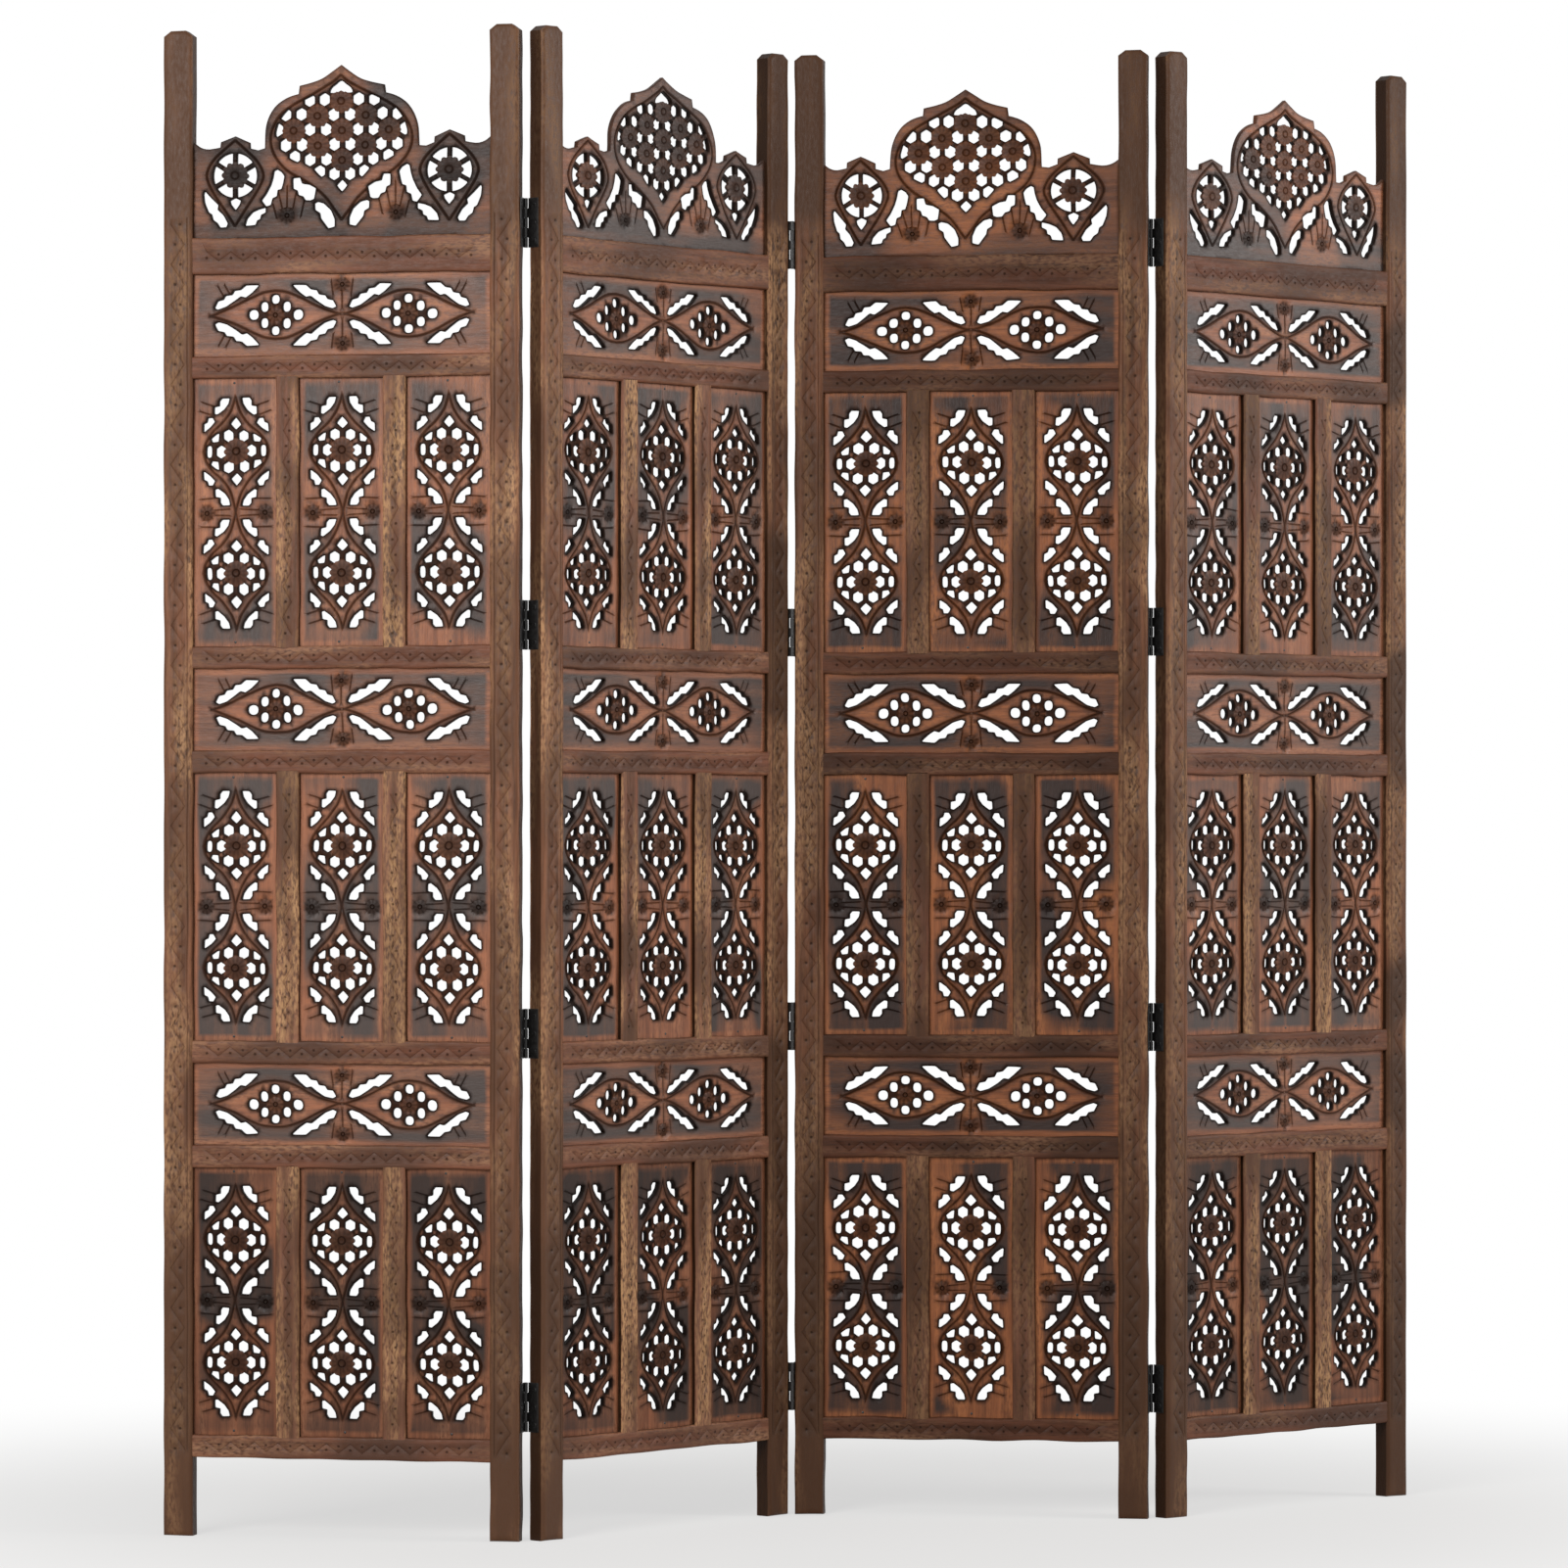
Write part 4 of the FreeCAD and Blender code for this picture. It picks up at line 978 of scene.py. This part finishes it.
def turned(profile, count):
    """A lathe shape about z: every (radius, height) of the profile swept round the axis, upwards on the
    outside. A profile from axis to axis ends in a fan of triangles; any other closes on itself."""
    profile = np.asarray(profile, float)
    capped = int(profile[0, 0] == 0)
    rings = profile[1:-1] if capped else profile
    angle = np.linspace(0, 2 * np.pi, count, endpoint=False)
    points = np.stack([rings[:, :1] * np.cos(angle), rings[:, :1] * np.sin(angle),
                       np.repeat(rings[:, 1:], count, axis=1)], -1).reshape(-1, 3)
    i, j = np.meshgrid(np.arange(len(rings) - capped), np.arange(count), indexing="ij")
    low, high, ahead = i * count, (i + 1) % len(rings) * count, (j + 1) % count
    quads = np.stack([low + j, low + ahead, high + ahead, high + j], -1).reshape(-1, 4)
    if not capped:
        return points, np.empty((0, 3), int), quads
    poles = np.array([(0, 0, profile[0, 1]), (0, 0, profile[-1, 1])])
    near, far = np.arange(count), np.roll(np.arange(count), -1)
    last = len(points) - count
    fans = np.vstack([np.column_stack([np.full(count, len(points)), far, near]),
                      np.column_stack([np.full(count, len(points) + 1), last + near, last + far])])
    return np.vstack([points, poles]), fans, quads


def metal(shape, turn, at):
    """A metal piece set in its panel: turned by a matrix and carried to its place, with no char or smoke."""
    points, faces, walls = shape[:3]
    points = points @ np.array(turn, float).T + np.array(at)
    return points, faces, walls, np.zeros(len(points)), np.zeros(len(points)), points


def leaf_plate(knuckles):
    """A leaf's flat plate about the pin: a strip as long as the hinge, with a tab at each of its knuckles."""
    start, root, tab = -(BARREL_RADIUS + PLATE_WIDTH), -(BARREL_RADIUS + KNUCKLE_GAP), -KNUCKLE_GAP
    end, half_tab = HINGE_LENGTH / 2, (KNUCKLE - KNUCKLE_GAP) / 2
    corners = [(start, -end), (root, -end)]
    for fifth in knuckles:
        low, high = fifth * KNUCKLE - half_tab, fifth * KNUCKLE + half_tab
        corners += [(root, low), (tab, low), (tab, high), (root, high)]
    corners += [(root, end), (start, end)]
    return slab(carve(loop_of(corners, 3), arris=PLATE_ARRIS, pitch=5), PLATE_THICKNESS / 2)


def black_lacquer():
    """Black stoving lacquer on pressed steel: a smooth dark skin, a little uneven in its gloss, in clouds
    a few millimetres wide."""
    material = bpy.data.materials.new("black_lacquered_steel")
    node = partial(add_node, bare_tree(material))
    spot = node("TexCoord", {}).outputs["Object"]
    cloud = node("TexNoise", {"Vector": spot, "Scale": 1 / (LACQUER_CLOUD * MM), "Detail": 3.0})
    rough = node("MapRange", {0: cloud.outputs["Fac"], 1: 0.3, 2: 0.7, 3: 0.32, 4: 0.5}).outputs[0]
    shader = node("BsdfPrincipled", {"Base Color": linear("#0f0d0c"), "Roughness": rough})
    node("OutputMaterial", {"Surface": shader.outputs[0]})
    return material


HINGE_STEEL = black_lacquer()
bore, end = PIN_RADIUS + PIN_PLAY, (KNUCKLE - KNUCKLE_GAP) / 2
eased, eased_end = BARREL_RADIUS - PLATE_ARRIS, end - PLATE_ARRIS
knuckle = turned([(eased, -end), (BARREL_RADIUS, -eased_end), (BARREL_RADIUS, eased_end), (eased, end),
                  (bore, end), (bore, -end)], 24)
tip, end = PIN_RADIUS - PIN_CHAMFER, HINGE_LENGTH / 2
pin = turned([(0, -end), (tip, -end), (PIN_RADIUS, PIN_CHAMFER - end), (PIN_RADIUS, end - PIN_CHAMFER),
              (tip, end), (0, end)], 20)
slot = (legs([(-SLOT_HALF, 0), (SLOT_HALF, 0)], 1), *SCREW_SLOT)
screw_face = carve(circle((0, 0), SCREW_RADIUS, 22), cuts=[slot], arris=SCREW_ARRIS, pitch=1.3)
screw = slab(screw_face, SCREW_HEAD / 2)
plates = {hand: leaf_plate(knuckles) for hand, (_, knuckles) in LEAVES.items()}
for joint in (1, 2, 3):
    rear = 1 if joint % 2 else -1
    pivot = rear * (STILE_DEPTH / 2 + BARREL_RADIUS)
    half_turn = np.diag((1, rear, rear))
    flat_on = half_turn @ np.array(((0, -1, 0), (1, 0, 0), (0, 0, 1)))
    for hand, (side, knuckles) in LEAVES.items():
        panel = f"panel_{joint}" if hand == "left" else f"panel_{joint + 1}"
        across = PANEL_WIDTH + BARREL_RADIUS if hand == "left" else -BARREL_RADIUS
        edgewise = np.array(((0, side, 0), (-side, 0, 0), (0, 0, 1)))
        inner = side * (BARREL_RADIUS - PLATE_THICKNESS / 2)
        parts = []
        for height in HINGE_HEIGHTS:
            axis = np.array((across, pivot, height))
            parts.append(metal(plates[hand], flat_on, axis + (inner, 0, 0)))
            parts += [metal(knuckle, half_turn, axis + (0, 0, fifth * KNUCKLE)) for fifth in knuckles]
            seat = axis + (inner - side * SCREW_PROUD, -rear * SCREWS_AWAY, 0)
            parts += [metal(screw, edgewise, seat + (0, 0, rise)) for rise in SCREW_RISES]
        name = f"hinge_{joint}{joint + 1}_{hand}_leaves"
        make_piece(name + "_steel", parts, panel, HINGE_STEEL, "hinge_steel", name)
    axes = [(PANEL_WIDTH + BARREL_RADIUS, pivot, height) for height in HINGE_HEIGHTS]
    parts = [metal(pin, np.eye(3), axis) for axis in axes]
    name = f"hinge_{joint}{joint + 1}_pins"
    make_piece(name + "_steel", parts, f"panel_{joint}", HINGE_STEEL, "hinge_steel", name)

# Brads: small blackened steel nails with low round heads that pin each lattice board near the middle of
# its top and bottom edge. They stray a few millimetres to either side, as nails set by eye do.
BRAD_INSET = 4.5
BRAD_STRAY = 4
brad = turned([(0, -2.0), (1.4, -2.0), (1.4, 0.0), (1.2, 0.25), (0.7, 0.42), (0, 0.46)], 10)
facing = ((1, 0, 0), (0, 0, -1), (0, 1, 0))
for number, panel in enumerate(PANELS):
    rng = np.random.default_rng(700 + number)
    parts = []
    for middle in BAY_MIDDLES:
        for column, end in ((column, end) for column in COLUMNS for end in (-1, 1)):
            across = MIDDLE + column * MULLION_STEP + rng.uniform(-BRAD_STRAY, BRAD_STRAY)
            place = (across, -BOARD_THICKNESS / 2, middle + end * (BAY_HEIGHT / 2 - BRAD_INSET))
            parts.append(metal(brad, facing, place))
    make_piece(panel + "_brads", parts, panel, HINGE_STEEL, "hinge_steel")

# Floor and light: a plain pale floor that turns white away from the screen, a white surround as fill, and
# two large soft lamps: one above in front, and one at the right for the panels turned that way.
FLOOR_PALE = "#cfccc8"
FLOOR_HALF = 30
FLOOR_WHITE = 0.6
WHITE_FROM = 0.5
WHITE_TO = 1.9
SURROUND = 0.35
LAMPS = (("front_lamp", (-2.1, -4.0, 2.3), 125.0), ("right_lamp", (5.2, -1.0, 2.3), 140.0))
LAMP_SIZE = 2.0
LAMP_AIM = Vector((0, 0, 1.2))
WHITE = (1, 1, 1, 1)


def seen_directly(tree):
    """1 for a ray from the camera or by way of a shiny or clear surface, 0 for the light on the screen."""
    path = add_node(tree, "LightPath", {}).outputs
    seen = add_node(tree, "Math", {0: path["Is Camera Ray"], 1: path["Is Glossy Ray"]}, operation="ADD")
    seen = add_node(tree, "Math", {0: seen.outputs[0], 1: path["Is Transmission Ray"]}, operation="ADD",
                    use_clamp=True)
    return seen.outputs[0]


def pale_paper():
    """Matt white paper, a little grey so that the screen's shadow shows, that glows white to the eye away
    from the screen as an overlit studio floor does."""
    material = bpy.data.materials.new("pale_paper_floor")
    tree = bare_tree(material)
    node = partial(add_node, tree)
    spot = node("TexCoord", {}).outputs["Object"]
    away = node("VectorMath", {0: spot}, operation="LENGTH").outputs["Value"]
    far = node("MapRange", {0: away, 1: WHITE_FROM, 2: WHITE_TO, 3: FLOOR_WHITE, 4: 1.0},
               interpolation_type="SMOOTHSTEP").outputs[0]
    white = node("Math", {0: seen_directly(tree), 1: far}, operation="MULTIPLY").outputs[0]
    matt = node("BsdfDiffuse", {"Color": linear(FLOOR_PALE)}).outputs[0]
    glow = node("Emission", {"Color": WHITE, "Strength": 1.0}).outputs[0]
    both = node("MixShader", {0: white, 1: matt, 2: glow})
    node("OutputMaterial", {"Surface": both.outputs[0]})
    return material


floor_mesh = bpy.data.meshes.new("floor")
floor_corners = [(x * FLOOR_HALF, y * FLOOR_HALF, 0) for x, y in ((-1, -1), (1, -1), (1, 1), (-1, 1))]
floor_mesh.from_pydata(floor_corners, [], [(0, 1, 2, 3)])
floor_mesh.materials.append(pale_paper())
floor = add_object("floor", floor_mesh)

world = bpy.data.worlds.new("white_surround")
bpy.context.scene.world = world
tree = bare_tree(world)
level = add_node(tree, "MapRange", {0: seen_directly(tree), 3: SURROUND, 4: 1.0})
sky = add_node(tree, "Background", {"Color": WHITE, "Strength": level.outputs[0]})
add_node(tree, "OutputWorld", {"Surface": sky.outputs[0]})

for name, place, power in LAMPS:
    lamp = bpy.data.lights.new(name, "AREA")
    lamp.energy = power
    lamp.size = LAMP_SIZE
    lamp_object = add_object(name, lamp)
    lamp_object.location = place
    lamp_object.rotation_euler = (LAMP_AIM - Vector(place)).to_track_quat("-Z", "Y").to_euler()

# Camera: level and 7.7 m away, at the place and with the lens that the photograph's perspective gives, and
# with the shift that its framing needs.
camera_data = bpy.data.cameras.new("camera")
camera_data.sensor_width = 36.0
camera_data.lens = 157.76
camera_data.shift_x = 0.00401
camera_data.shift_y = 0.03074
camera = add_object("camera", camera_data)
camera.location = (-0.0293, -7.7352, 0.7713)
camera.rotation_euler = (np.pi / 2, 0, 0)
bpy.context.scene.camera = camera
bpy.context.scene.view_settings.view_transform = "Standard"
